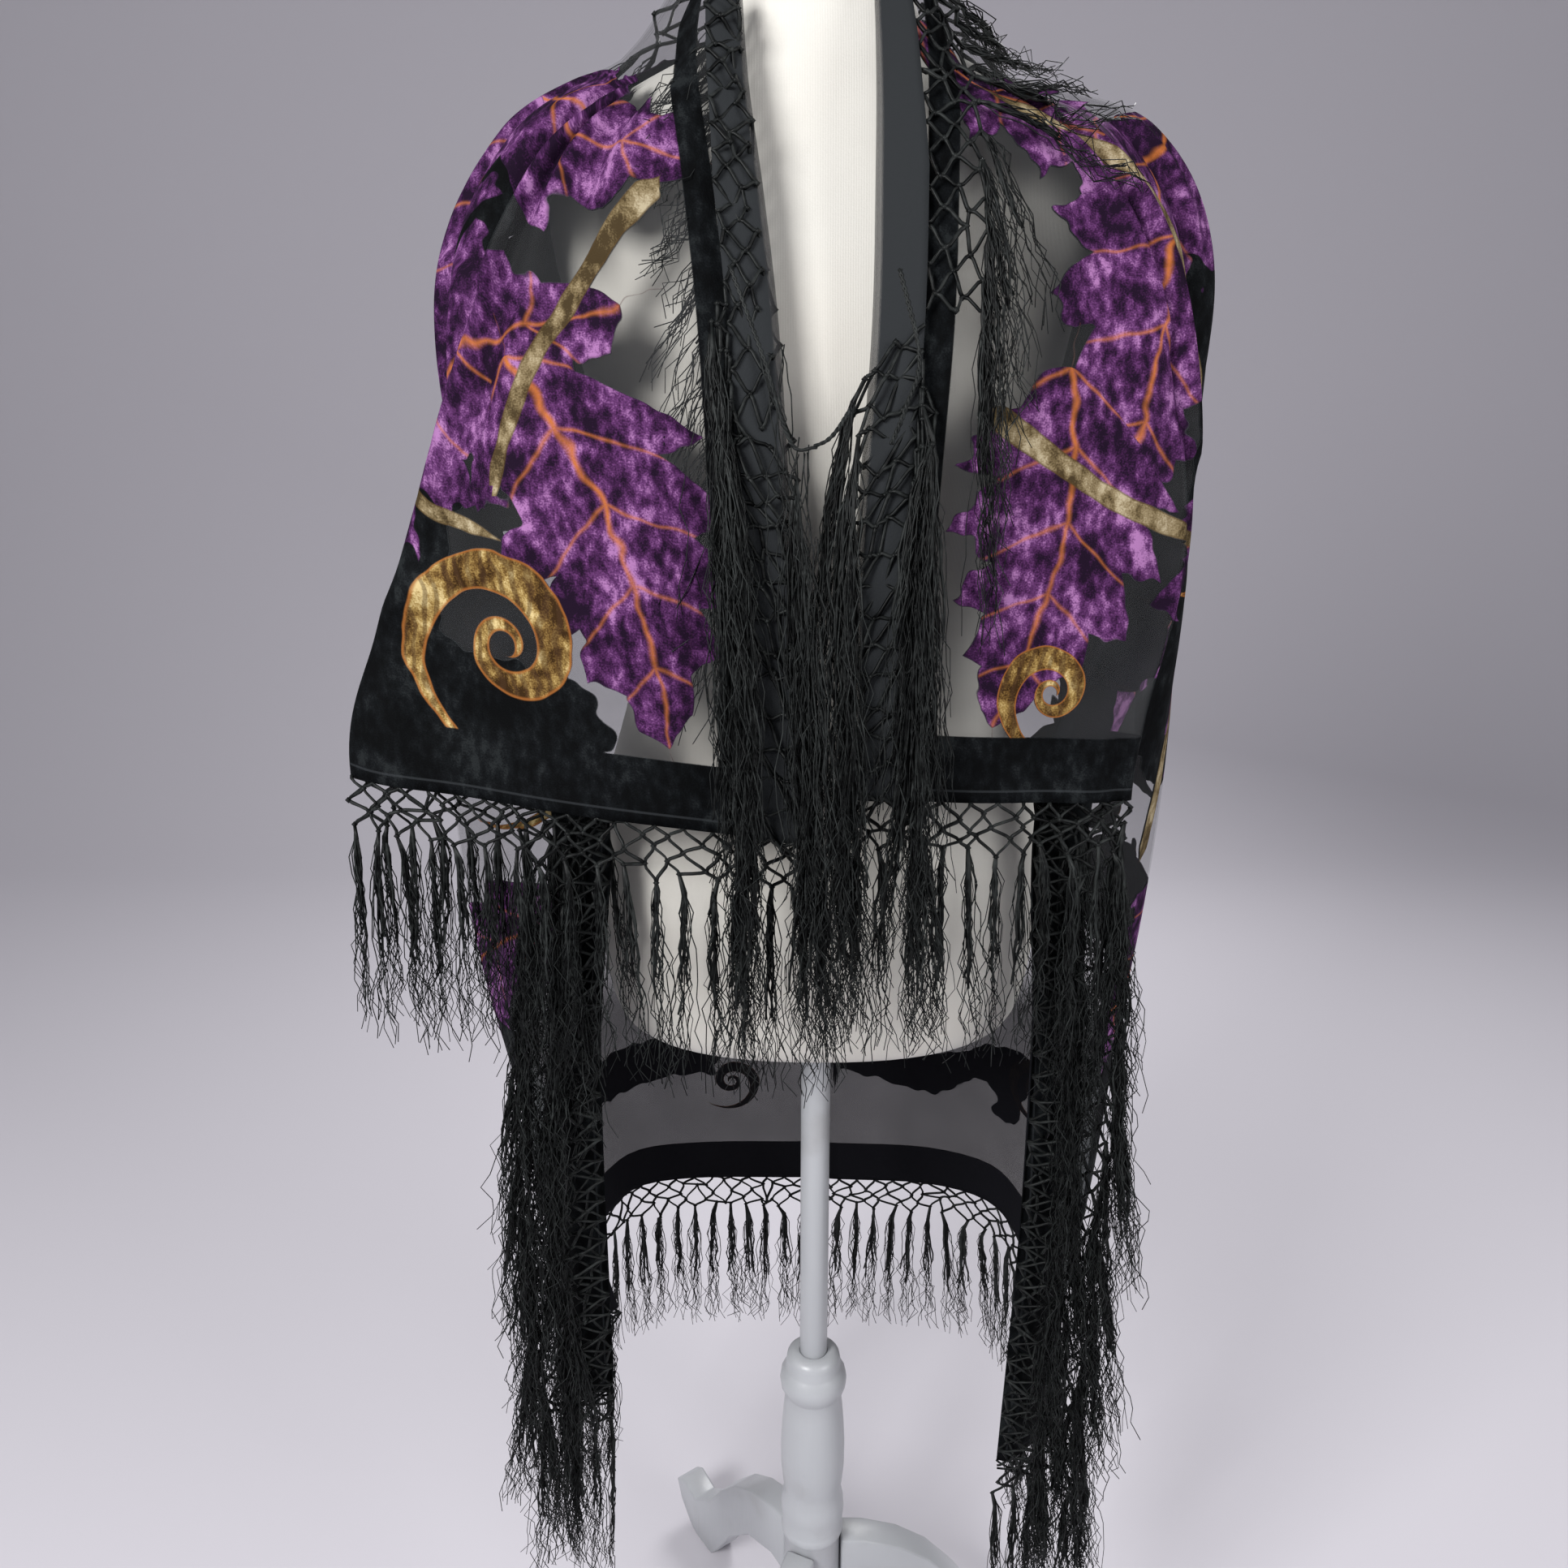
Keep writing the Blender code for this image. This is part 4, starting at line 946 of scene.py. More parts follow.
def leaf_shape(wire, name, wobble):
    """A toothed leaf's depth inside its outline, and its veins, from a leaf attribute."""
    along, aside_raw, length = stored_parts(wire, name)
    inside = along.maths("MAXIMUM", 0.0).maths("MINIMUM", 1.0)
    bow = (inside * math.pi).maths("SINE")
    aside = abs(aside_raw + wobble * LEAF_WOBBLE - bow * LEAF_BOW)
    slanted = inside * TEETH - aside * TOOTH_SLANT
    teeth = abs((slanted + wobble * 0.8).maths("FRACT") - 0.5) * 2.0
    half_width = ((inside ** 0.72) * math.pi).maths("SINE").maths("MAXIMUM", 0.0) ** 0.75
    half_width = half_width * (teeth * -TOOTH_DEPTH + LEAF_HALF_WIDTH)
    depth = (half_width - aside) * length
    rib = (0.0095 - inside * 0.0065) - aside
    branch_line = abs((slanted + 0.5).maths("FRACT") - 0.5) * 0.2
    vein = (0.0050 - inside * 0.002) - branch_line
    veins = rib.maths("MAXIMUM", vein - aside * 0.012) * length
    return depth, veins


def unmixed(wire, name, part):
    """1 where all corners of a face belong to one motif, so that its own numbers make sense."""
    mark = stored_parts(wire, name)[part]
    return abs(mark - mark.maths("ROUND")).step(0.02, 0.004)


def scroll_shape(wire, wobble):
    """A curled scroll's depth inside its band: a spiral that widens, then runs out in a tail."""
    x, y, _ = stored_parts(wire, "scroll")
    radius = (x * x + y * y).maths("SQRT").maths("MAXIMUM", 0.0005) * (wobble * 0.10 + 1.0)
    angle = y.maths("ARCTAN2", x)
    wound = (radius / SCROLL_EYE).maths("LOGARITHM", math.e) / SCROLL_GROWTH
    turns = ((wound - angle) / (2 * math.pi)).maths("ROUND")
    turned = angle + turns * (2 * math.pi)
    middle = (turned * SCROLL_GROWTH).maths("EXPONENT") * SCROLL_EYE
    taper = turned.step(11.6, 7.2) * turned.step(-1.6, 0.6)
    return middle * SCROLL_BAND * taper - abs(radius - middle) - 0.0004


def branch_shape(wire, wobble):
    along, aside, _ = stored_parts(wire, "branch")
    ends = along.step(-0.01, 0.05) * along.step(1.0, 0.82)
    half_width = BRANCH_HALF_WIDTH - along * BRANCH_TAPER + wobble * 0.004
    return half_width * ends - abs(aside) - 0.0003


print("outlines ready for", len(LEAF_NAMES), "sets of leaves")

# %% [markdown]
# ## Face and wrong side of the cloth
# One function builds both materials. The mask of the pile decides nearly everything: where the cloth
# is opaque, what colour it has and how rough it is. The pile lies flattened in patches, and a noise
# paints its colour from painted shade near black to a painted sheen on those patches. On the wrong
# side the same pattern shows dark and dull.
# %% Cloth materials
# Each ramp runs from painted shade near black up to a painted sheen, for the velvet's flattened patches
PURPLE = ((0.009, 0.003, 0.012), (0.036, 0.009, 0.043), (0.096, 0.029, 0.110), (0.30, 0.135, 0.31))
GOLD = ((0.030, 0.014, 0.004), (0.12, 0.066, 0.018), (0.28, 0.185, 0.060), (0.54, 0.42, 0.20))
TAN = ((0.045, 0.030, 0.013), (0.12, 0.087, 0.042), (0.22, 0.17, 0.095), (0.38, 0.32, 0.21))
BLACK = (
    (0.0008, 0.0010, 0.0013),
    (0.0018, 0.0023, 0.0028),
    (0.0038, 0.0046, 0.0055),
    (0.012, 0.014, 0.015),
)
STOP_PLACES = (0.38, 0.47, 0.56, 0.67)
VEIN = (0.42, 0.125, 0.024)
SHEER_FACE = (0.075, 0.082, 0.086)
SHEER_REVERSE = (0.064, 0.060, 0.062)
LEAF_RIM = (0.012, 0.004, 0.016)
GOLD_STREAK, GOLD_RIM, TAN_RIM = (0.045, 0.022, 0.010), (0.26, 0.09, 0.02), (0.06, 0.035, 0.012)
STITCHES = (0.05, 0.055, 0.06)
BACK_OF_PILE = (0.006, 0.006, 0.008)
SATIN = (0.022, 0.024, 0.026)
BORDER_WIDTH = 0.0445
FRONT_BAND_PLACE, FRONT_BAND_HALF = 0.0365, 0.0095
STITCH_PLACE = 0.008
RAGGED = 0.075
BLUR = 0.0006
THIN_COVER, COVER_VARIES, PAINTED_SHADE_COVER = 0.085, 0.08, 0.60


# Paints the pile's shade and sheen from a ramp, led by the nap
def painted_crush_sheen(nap, colours):
    return nap.node("ShaderNodeValToRGB", {0: nap}, stops=tuple(zip(STOP_PLACES, colours)))


def within(depth):
    """1 inside an outline and 0 outside it, over a narrow blur."""
    return depth.step(-BLUR, BLUR)


def pile_masks(wire, flat, edge, top):
    """Where each kind of motif has its pile, with the depths and veins that its colours need."""
    wobble = noise(wire, flat, 42.0, 1.0) - 0.5
    ragged = noise(wire, flat, 19.0, 2.0) - 0.5
    scroll = scroll_shape(wire, wobble)
    branch = branch_shape(wire, wobble)
    patch = stored_number(wire, "black") + ragged * RAGGED
    border = (BORDER_WIDTH - edge).maths("MAXIMUM", FRONT_BAND_HALF - abs(top - FRONT_BAND_PLACE))
    leaves = []
    for part, name in enumerate(LEAF_NAMES):
        depth, veins = leaf_shape(wire, name, wobble)
        leaves.append((within(depth) * unmixed(wire, "leaf_marks", part), depth, veins))
    return {
        "leaves": leaves,
        "scroll": (within(scroll) * unmixed(wire, "other_marks", 0), scroll),
        "branch": (within(branch) * unmixed(wire, "other_marks", 1), branch),
        "black": within(patch.maths("MAXIMUM", border)),
        "border": within(border),
    }


def whole_pile(masks):
    """The pile of all motifs together."""
    pile = masks["black"]
    for mask in (masks["scroll"][0], masks["branch"][0], *(leaf[0] for leaf in masks["leaves"])):
        pile = pile.maths("MAXIMUM", mask)
    return pile


def motif_colours(wire, flat, masks, ground, nap, crush):
    """Motif colours over the ground's, with painted shade and sheen and a darker or brighter rim each."""
    purple, black = painted_crush_sheen(nap, PURPLE), painted_crush_sheen(nap, BLACK)
    # Veins show brighter where the pile's painted sheen is high
    vein_painted_sheen = crush * 1.2 + 0.15
    colour = masks["black"].mixed(ground, black)
    for mask, depth, veins in masks["leaves"]:
        leaf = ((veins * 420.0).step(-0.8, 0.9) * vein_painted_sheen).mixed(purple, VEIN)
        leaf = (depth.step(0.0022, 0.0004) * 0.55).mixed(leaf, LEAF_RIM)
        colour = mask.mixed(colour, leaf)
    streaks = waves(wire, flat, 34.0, 9.0)
    mask, depth = masks["scroll"]
    gold = (streaks.step(0.55, 0.15) * 0.55).mixed(painted_crush_sheen(nap, GOLD), GOLD_STREAK)
    gold = (depth.step(0.0026, 0.0006) * 0.8).mixed(gold, GOLD_RIM)
    colour = mask.mixed(colour, gold)
    mask, depth = masks["branch"]
    tan = (depth.step(0.0016, 0.0004) * 0.7).mixed(painted_crush_sheen(nap, TAN), TAN_RIM)
    colour = mask.mixed(colour, tan)
    return masks["border"].mixed(colour, black)


def cloth_material(name, face):
    material, wire, shader = new_material(name, specular_ior_level=0.06)
    flat = wire.node("ShaderNodeAttribute", output=1, attribute_name="flat")
    edge, top = stored_number(wire, "edge"), stored_number(wire, "top")
    masks = pile_masks(wire, flat, edge, top)
    pile = whole_pile(masks)
    broad = noise(wire, flat, 24.0, 2.0)
    stretched = wire.node("ShaderNodeMapping", {"Vector": flat, "Scale": (115.0, 70.0, 1.0)})
    crush = noise(wire, stretched, 1.3, 3.0)
    fine = noise(wire, flat, 900.0, 0.0)
    # The nap decides where the pile gets painted shade and where it gets painted sheen
    nap = broad * 0.60 + crush * 0.62 + fine * 0.18 - 0.20
    ground = SHEER_FACE if face else SHEER_REVERSE
    colour = motif_colours(wire, flat, masks, ground, nap, crush)
    stitch = abs(edge - STITCH_PLACE).step(0.0011, 0.0004) * 0.30
    colour = stitch.mixed(colour, STITCHES)
    if not face:
        colour = (pile * 0.985).mixed(colour, BACK_OF_PILE)
        satin = top.step(0.002, -0.002)
        colour = satin.mixed(colour, SATIN)
        pile = pile.maths("MAXIMUM", satin)
    # The deep share makes the sheer more opaque below the form, as painted shade
    cover = broad * COVER_VARIES + stored_number(wire, "deep") * PAINTED_SHADE_COVER + THIN_COVER
    wire.feed(shader.inputs["Base Color"], colour)
    wire.feed(shader.inputs["Alpha"], pile.maths("MAXIMUM", cover))
    wire.feed(shader.inputs["Roughness"], pile * 0.25 + 0.52)
    raise_surface(wire, shader, crush + fine * 0.25, 0.5, 0.0010)
    return material


FACE = cloth_material("burnout_face", True)
REVERSE = cloth_material("burnout_reverse", False)
print(FACE.name, len(FACE.node_tree.nodes), "nodes", REVERSE.name, len(REVERSE.node_tree.nodes))

# %% [markdown]
# Solidify gives the single layer its thickness, and its inner skin takes the wrong side's material.
# %% Thickness of the cloth
CLOTH_THICKNESS = 0.0011
cloth.data.materials.append(FACE)
cloth.data.materials.append(REVERSE)
apply_modifier(
    cloth, "SOLIDIFY", thickness=CLOTH_THICKNESS, offset=0.0, material_offset=1, use_even_offset=False
)
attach(cloth, "root")
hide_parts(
    "shawl_front_left", "shawl_front_right", "shawl_wing_left", "shawl_wing_right", "shawl_back"
)
print("cloth faces with thickness", len(cloth.data.polygons))

# %% [markdown]
# ## Strands
# The fringe is thousands of thin strands, so they are worked out as arrays: each is a closed tube
# round a line of points, and each knot a small eight-sided bead. A piece gathers its own strands
# and then becomes one mesh.
# %% Strands


class Strands:
    """Tubes and knots of one piece, with a number per point that varies the yarn's colour."""

    def __init__(self):
        self.points, self.tones, self.faces = [], [], {3: [], 4: []}
        self.count = 0

    def add(self, points, tones, *faces):
        self.points.append(points.reshape(-1, 3))
        self.tones.append(tones.ravel())
        for group in faces:
            self.faces[group.shape[-1]].append(group.reshape(-1, group.shape[-1]) + self.count)
        self.count += points.size // 3

    def tubes(self, paths, radii, sides, tones):
        """Closed tubes: paths is (tubes, points, 3), radii (tubes, points) and tones (tubes,)."""
        number, length = radii.shape
        tangent = unit(np.gradient(paths, axis=1))
        upright = abs(tangent[..., 2]).mean(1) > 0.75
        helper = np.where(upright[:, None, None], [0.31, 0.95, 0.0], [0.0, 0.0, 1.0])
        across = unit(np.cross(tangent, helper))
        other = np.cross(tangent, across)
        turns = 2 * np.pi * np.arange(sides) / sides
        round_it = across[:, :, None] * np.cos(turns)[:, None]
        round_it = round_it + other[:, :, None] * np.sin(turns)[:, None]
        points = paths[:, :, None] + round_it * radii[:, :, None, None]
        index = np.arange(number * length * sides).reshape(number, length, sides)
        following = np.roll(index, -1, 2)
        skin = np.stack([index[:, :-1], following[:, :-1], following[:, 1:], index[:, 1:]], -1)
        tone = np.broadcast_to(tones[:, None, None], index.shape)
        self.add(points, tone, skin, index[:, 0, ::-1], index[:, -1])

    def knots(self, places, radius, tones):
        corners = np.concatenate([np.eye(3), -np.eye(3)]) * radius
        eighths = np.array(
            [[0, 1, 2], [1, 3, 2], [3, 4, 2], [4, 0, 2], [1, 0, 5], [3, 1, 5], [4, 3, 5], [0, 4, 5]]
        )
        points = places[:, None] + corners
        first = np.arange(len(places))[:, None, None] * 6
        self.add(points, np.repeat(tones[:, None], 6, 1), first + eighths)

    def build(self, name):
        groups = [np.concatenate(faces) for faces in self.faces.values() if faces]
        mesh = mesh_from_arrays(name, np.concatenate(self.points), groups)
        store(mesh, "tone", np.concatenate(self.tones))
        return add_mesh_object(name, mesh)


print("strands ready")

# %% [markdown]
# ## How the fringe hangs
# Every stretch of fringe is a sheet of places: along its edge, two steps for each tassel, and down
# from the edge through four rows of net and then along the tassel. Each stretch says in its own way
# where those places are, and the net and the tassels are then made alike from all of them.
# %% Net and tassels
PITCH = 0.019
NET_ROWS = 4
NET_DEPTH = 0.034
TASSEL_LENGTH = 0.158
TASSEL_STEPS = 12
NET_DROPS = np.arange(NET_ROWS + 1) * NET_DEPTH / NET_ROWS
TASSEL_DROPS = TASSEL_LENGTH * np.arange(1, TASSEL_STEPS + 1) / TASSEL_STEPS
DROPS = np.concatenate([NET_DROPS, NET_DEPTH + TASSEL_DROPS])
CORD_RADIUS = 0.00125
CORD_STEPS = 4
KNOT_RADIUS = 0.0023
JITTER = 0.0026
YARNS, YARN_STEPS = 4, 7
THREADS, THREAD_STEPS = 13, 12
THREAD_RADIUS = 0.00040
DOWN = np.array([0.0, 0.0, -1.0])
EDGE_ROUND = 5.02
# Tassels with more spread than this lie in a tangle, and sway from their roots on
TANGLED = 1.5
TANGLE_SPREAD = 2.6


def walked_along(places):
    """The distance walked to each point of a line."""
    return np.concatenate([[0], np.cumsum(np.linalg.norm(np.diff(places, axis=0), axis=1))])


def half_pitches(walked):
    """Walked distances of every tassel's place along an edge and of the places between them."""
    return np.linspace(0.0, walked[-1], 2 * max(1, round(walked[-1] / PITCH)) + 1)


def net_and_tassel(drop):
    """How much of a drop goes down the net, and how much down the tassel after it."""
    return np.minimum(drop, NET_DEPTH), np.maximum(drop - NET_DEPTH, 0.0)


def even_line(places, normals):
    """Half-pitch places along an edge, with their normals and their shares of its length."""
    walked = walked_along(places)
    at = half_pitches(walked)
    line = np.stack([np.interp(at, walked, places[:, k]) for k in range(3)], 1)
    out = np.stack([np.interp(at, walked, normals[:, k]) for k in range(3)], 1)
    return line, unit(out), at / walked[-1]


def net_cords(strands, knots, hang, normal, rng):
    """Cords between the knots of neighbouring rows, curved so that the loops are six-sided."""
    share = np.linspace(0, 1, CORD_STEPS + 1)
    eased = smooth(share) - share
    paths = []
    for row in range(NET_ROWS):
        for j in range(row % 2, len(hang), 2):
            for beside in (j - 1, j + 1):
                if not 0 <= beside < len(hang):
                    continue
                start, end = knots[j, row], knots[beside, row + 1]
                aside = hang[beside, row] - hang[j, row]
                bulge = normal[j, row] * rng.normal(0.0, 0.0009)
                path = start + (end - start) * share[:, None] + aside * eased[:, None]
                paths.append(path + bulge * np.sin(np.pi * share)[:, None])
    paths = np.array(paths)
    radii = np.full(paths.shape[:2], CORD_RADIUS) * rng.uniform(0.85, 1.1, (len(paths), 1))
    strands.tubes(paths, radii, 4, rng.uniform(0.0, 0.5, len(paths)))
    tied = [knots[j, row] for row in range(1, NET_ROWS + 1) for j in range(row % 2, len(hang), 2)]
    strands.knots(np.array(tied), KNOT_RADIUS, rng.uniform(0.0, 0.4, len(tied)))


def along_paths(paths, share):
    """Points at shares of the length of each path: paths (n, m, 3), share (n, k)."""
    place = np.clip(share, 0, 1) * (paths.shape[1] - 1)
    low = np.minimum(place.astype(int), paths.shape[1] - 2)
    part = (place - low)[..., None]
    rows = np.arange(len(paths))[:, None]
    return paths[rows, low] * (1 - part) + paths[rows, low + 1] * part


def wavy(rng, number, steps, kink, spread):
    """Sideways wander of a wavy thread: kinks at each step, more towards its end, and a lean."""
    share = np.linspace(0, 1, steps + 1)
    kinks = rng.normal(0.0, kink, (number, steps + 1)) * (0.25 + share)
    drift = np.cumsum(rng.normal(0.0, kink * 0.5, (number, steps + 1)), axis=1)
    lean = rng.normal(0.0, spread, (number, 1)) * share ** 1.5
    return (kinks + drift) * np.minimum(share * 6, 1) + lean


def tassels(strands, knots, hang, normal, rng, spread=1.0):
    """A tassel under every other knot of the last row: a few twisted yarns, then many threads."""
    roots = np.arange(0, len(hang), 2)
    middle = np.concatenate([knots[roots, -1][:, None], hang[roots, NET_ROWS + 1:]], 1)
    grows = np.linspace(0, 1, middle.shape[1])[:, None] ** (1.4 if spread < TANGLED else 0.55)
    sway = rng.normal(0.0, 0.0045 * spread, (len(roots), 1, 2)) * grows
    away = normal[roots, NET_ROWS:]
    aside = unit(np.cross(unit(np.gradient(middle, axis=1)), away))
    middle = middle + aside * sway[..., :1] + away * abs(sway[..., 1:]) * 0.5
    for many, steps, sides, share, kink, lean in (
        (YARNS, YARN_STEPS, 4, (0.42, 0.62), 0.0011, 0.0026),
        (THREADS, THREAD_STEPS, 3, (0.78, 1.0), 0.0028, 0.0014 * spread),
    ):
        number = many * len(roots)
        which = np.repeat(np.arange(len(roots)), many)
        places = np.linspace(0, 1, steps + 1)[None] * rng.uniform(*share, (number, 1))
        path = along_paths(middle[which], places)
        path = path + along_paths(aside[which], places) * wavy(rng, number, steps, kink, lean)[..., None]
        depth = wavy(rng, number, steps, kink, lean * 0.6)[..., None]
        path = path + along_paths(away[which], places) * (abs(depth) * 0.8)
        if sides == 4:
            radii = np.linspace(0.0014, 0.0008, steps + 1)[None] * np.ones((number, 1))
        else:
            radii = THREAD_RADIUS * rng.uniform(0.8, 1.25, (number, 1)) * np.linspace(1.1, 0.8, steps + 1)
        strands.tubes(path, radii, sides, rng.uniform(0.0, 1.0, number) ** 2)


def hang_fringe(strands, hang, normal, rng, spread=1.0):
    """Net and tassels on a sheet of places, each with its outward normal."""
    knots = hang[:, : NET_ROWS + 1].copy()
    knots[:, 1:] += rng.normal(0.0, JITTER, knots[:, 1:].shape)
    net_cords(strands, knots, hang, normal, rng)
    tassels(strands, knots, hang, normal, rng, spread)


def hem_sheet(places, normals):
    """Straight down from a hem."""
    line, out, _ = even_line(places, normals)
    hang = line[:, None] + DOWN * DROPS[:, None] + out[:, None] * (0.02 * DROPS[:, None])
    return hang, np.repeat(out[:, None], len(DROPS), 1)


def level(normals):
    """Normals without their upright part."""
    return unit(normals * np.array([1.0, 1.0, 0.0]))


print("tassels round the cloth, about", round(EDGE_ROUND / PITCH))

# %% [markdown]
# ## Fringe of the fronts' turned-back edges
# A fringe on an upright edge can't hang straight out. On the lower part it sags in a dense mass, made
# here as two sheets, one to each side of the lapel. At the top it differs: on the viewer's left it is
# folded back across the lapel and hangs behind the sheer panel, and on the right it lies over the
# panel and is thrown over the shoulder.
# %% Fringe sheets of the fronts
TOP_ROWS = {-1: (3, 82), 1: (2, 70)}
THROWN_ROWS = 30
THROWN_FADE = 12
SHEET_LIFT = 0.0105
BEHIND = 0.0055


def over_front(side, row, distance, lift):
    """A place and normal over the front: at a grid row, a distance from the front edge round the
    panel, negative towards the middle, and straight below the hem past the last row."""
    kept = min(max(row, 0.0), float(HEM_ROW))
    low = min(int(kept), HEM_ROW - 1)
    places, normals = [], []
    for number in (low, low + 1):
        place, normal = along_row(side, number, np.array([max(distance, 0.0)]))
        inward = unit(GRID[side][number, 0] - GRID[side][number, 2])
        places.append(place[0] + inward * max(-distance, 0.0))
        normals.append(normal[0])
    share = kept - low
    place = places[0] * (1 - share) + places[1] * share
    normal = unit(normals[0] * (1 - share) + normals[1] * share)
    return place + normal * lift + DOWN * ((row - kept) * ROW_FALL[side]), normal


ROW_FALL = {side: abs(FLAT_Y[side][0, 0] - FLAT_Y[side][HEM_ROW, 0]) / HEM_ROW for side in (-1, 1)}


def front_sheet(side, first, last, path):
    """A sheet along the lapel's free edge from one grid row to another. path gives, for a row and
    a drop, how far down, how far from the front edge and how high over the cloth a place is."""
    edge = np.array([lapel_row(side, row)[0][0] for row in range(first, last + 1)])
    line, _, shares = even_line(edge, edge)
    hang = np.zeros((len(line), len(DROPS), 3))
    normal = np.zeros_like(hang)
    for j, share in enumerate(shares):
        row = first + share * (last - first)
        for k, drop in enumerate(DROPS):
            fall, distance, lift = path(row, drop)
            hang[j, k], normal[j, k] = over_front(side, row + fall / ROW_FALL[side], distance, lift)
    return hang, normal


def sagging_out(row, drop):
    """The net slides down over the lapel's free edge and the border, and so do the tassels."""
    net, tassel = net_and_tassel(drop)
    return net * 0.70 + tassel, lapel_width(row) + net * 0.25, SHEET_LIFT + drop * 0.02


def sagging_in(row, drop):
    """The net slides back over the lapel towards the gap, and its tassels hang before the edge."""
    net, tassel = net_and_tassel(drop)
    return net * 0.70 + tassel, lapel_width(row) - net * 1.05, SHEET_LIFT + drop * 0.02


def behind(row, drop):
    """Back across the lapel, round the front edge, and down behind the panel in a slanting fan."""
    width = lapel_width(row)
    net, tassel = net_and_tassel(drop)
    across = width - net / NET_DEPTH * (width + 0.004)
    lift = LAPEL_LIFT + 0.0022 if net < NET_DEPTH else -BEHIND
    return net * 0.15 + tassel * 0.86, across + tassel * 0.50, lift - min(tassel, 0.05) * 0.1


def over_panel(row, drop):
    """Out over the panel in upright chains of loops, and at the very top thrown over the shoulder."""
    thrown = float(smooth((THROWN_ROWS + THROWN_FADE - row) / THROWN_FADE))
    net, tassel = net_and_tassel(drop)
    fall = net * 0.30 + tassel * (0.97 - 0.45 * thrown)
    distance = lapel_width(row) + net * 0.95 + tassel * (0.16 + 0.62 * thrown)
    return fall, distance, 0.0050 + 0.012 * tassel


FRONT_SHEETS = {
    -1: (
        (*TOP_ROWS[-1], behind, 1.1),
        (TOP_ROWS[-1][1] - 16, HEM_ROW, sagging_out, TANGLE_SPREAD),
        (TOP_ROWS[-1][1], HEM_ROW, sagging_in, TANGLE_SPREAD),
    ),
    1: (
        (*TOP_ROWS[1], over_panel, 1.1),
        (TOP_ROWS[1][1] + 2, HEM_ROW, sagging_in, TANGLE_SPREAD),
        (TOP_ROWS[1][1] + 6, HEM_ROW, sagging_out, TANGLE_SPREAD),
    ),
}
print("falls a row", {side: round(fall * 1000, 2) for side, fall in ROW_FALL.items()}, "mm")

# %% [markdown]
# ## Yarn
# The yarn is black rayon: nearly black, with thin greenish grey glints where a strand turns to the
# light. Each strand has its own tone, and that tone and a mottle lift its colour towards a greenish
# grey that is partly the yarn's own varied tone and partly a painted glint.
# %% Yarn material
YARN_DARK, YARN_PAINTED_GLINT = (0.0008, 0.0010, 0.0012), (0.034, 0.038, 0.037)


def yarn_material():
    material, wire, shader = new_material("fringe_yarn", specular_ior_level=0.14)
    tone = stored_number(wire, "tone")
    place = wire.node("ShaderNodeTexCoord", output=3)
    mottle = noise(wire, place, 160.0, 2.0)
    # The tone and the mottle lift the colour to a grey that is partly own tone and partly painted glint
    share = tone * 0.6 + mottle.step(0.40, 0.75) * 0.4
    wire.feed(shader.inputs["Base Color"], share.mixed(YARN_DARK, YARN_PAINTED_GLINT))
    wire.feed(shader.inputs["Roughness"], mottle * 0.25 + 0.34)
    return material


YARN = yarn_material()
print(YARN.name, len(YARN.node_tree.nodes), "nodes")

# %% [markdown]
# ## Fringe pieces
# One piece for each stretch of fringe, each in place of its own solid.
# %% Fringe pieces
HALF_FRONT = slice(0, column_at(TUCK_U) + 1)
WING_BOTTOM = slice(column_at(TUCK_U), column_at(SIDE_SEAM_U) + 1)
BACK_BOTTOM = slice(column_at(SIDE_SEAM_U), None)
WORDS = {-1: "left", 1: "right"}


def finish_fringe(strands, place):
    """One piece from a stretch's strands, in place of the solid that has the same name's end."""
    obj = strands.build(f"net_and_tassels_{place}")
    finish_piece(obj, YARN)
    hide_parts(f"fringe_{place}")
    print(obj.name, sum(len(face.vertices) - 2 for face in obj.data.polygons), "triangles")


def hem_fringe(side, row, columns, place, rng):
    """Straight down from one side's front hem or its wing's."""
    strands = Strands()
    hang = hem_sheet(GRID[side][row, columns], level(NORMAL[side][row, columns]))
    hang_fringe(strands, *hang, rng)
    finish_fringe(strands, f"{place}_{WORDS[side]}")


def lapel_fringe(side, rng):
    strands = Strands()
    for first, last, path, spread in FRONT_SHEETS[side]:
        hang, normal = front_sheet(side, first, last, path)
        hang_fringe(strands, hang, normal, rng, spread)
    if side > 0:
        loose_cords(strands, rng)
    finish_fringe(strands, f"lapel_{WORDS[side]}")


WING_TURN = math.radians(12)
SECOND_LAYER_OUT = 0.026


def wing_edge_fringe(side, rng):
    """A curtain of two layers before the wing, which starts at the wing's inner edge."""
    strands = Strands()
    edge = GRID[side][HEM_ROW + 2:, column_at(TUCK_U)] + np.array([0.0, -0.0035, 0.0])
    away = np.array([side * math.cos(WING_TURN), -math.sin(WING_TURN), 0.0])
    front = np.array([-side * math.sin(WING_TURN), -math.cos(WING_TURN), 0.0])
    line, _, _ = even_line(edge, edge)
    net, tassel = net_and_tassel(DROPS)
    out, fall = net * 0.95 + tassel * 0.06, net * 0.35 + tassel * 0.99
    hang = line[:, None] + away * out[:, None] + DOWN * fall[:, None] + front * 0.002
    normal = np.broadcast_to(front, hang.shape)
    hang_fringe(strands, hang, normal, rng, TANGLE_SPREAD)
    second = hang + away * (SECOND_LAYER_OUT * np.minimum(DROPS / 0.012, 1.0))[:, None]
    hang_fringe(strands, second + front * 0.003, normal, rng, TANGLE_SPREAD)
    finish_fringe(strands, f"wing_edge_{WORDS[side]}")


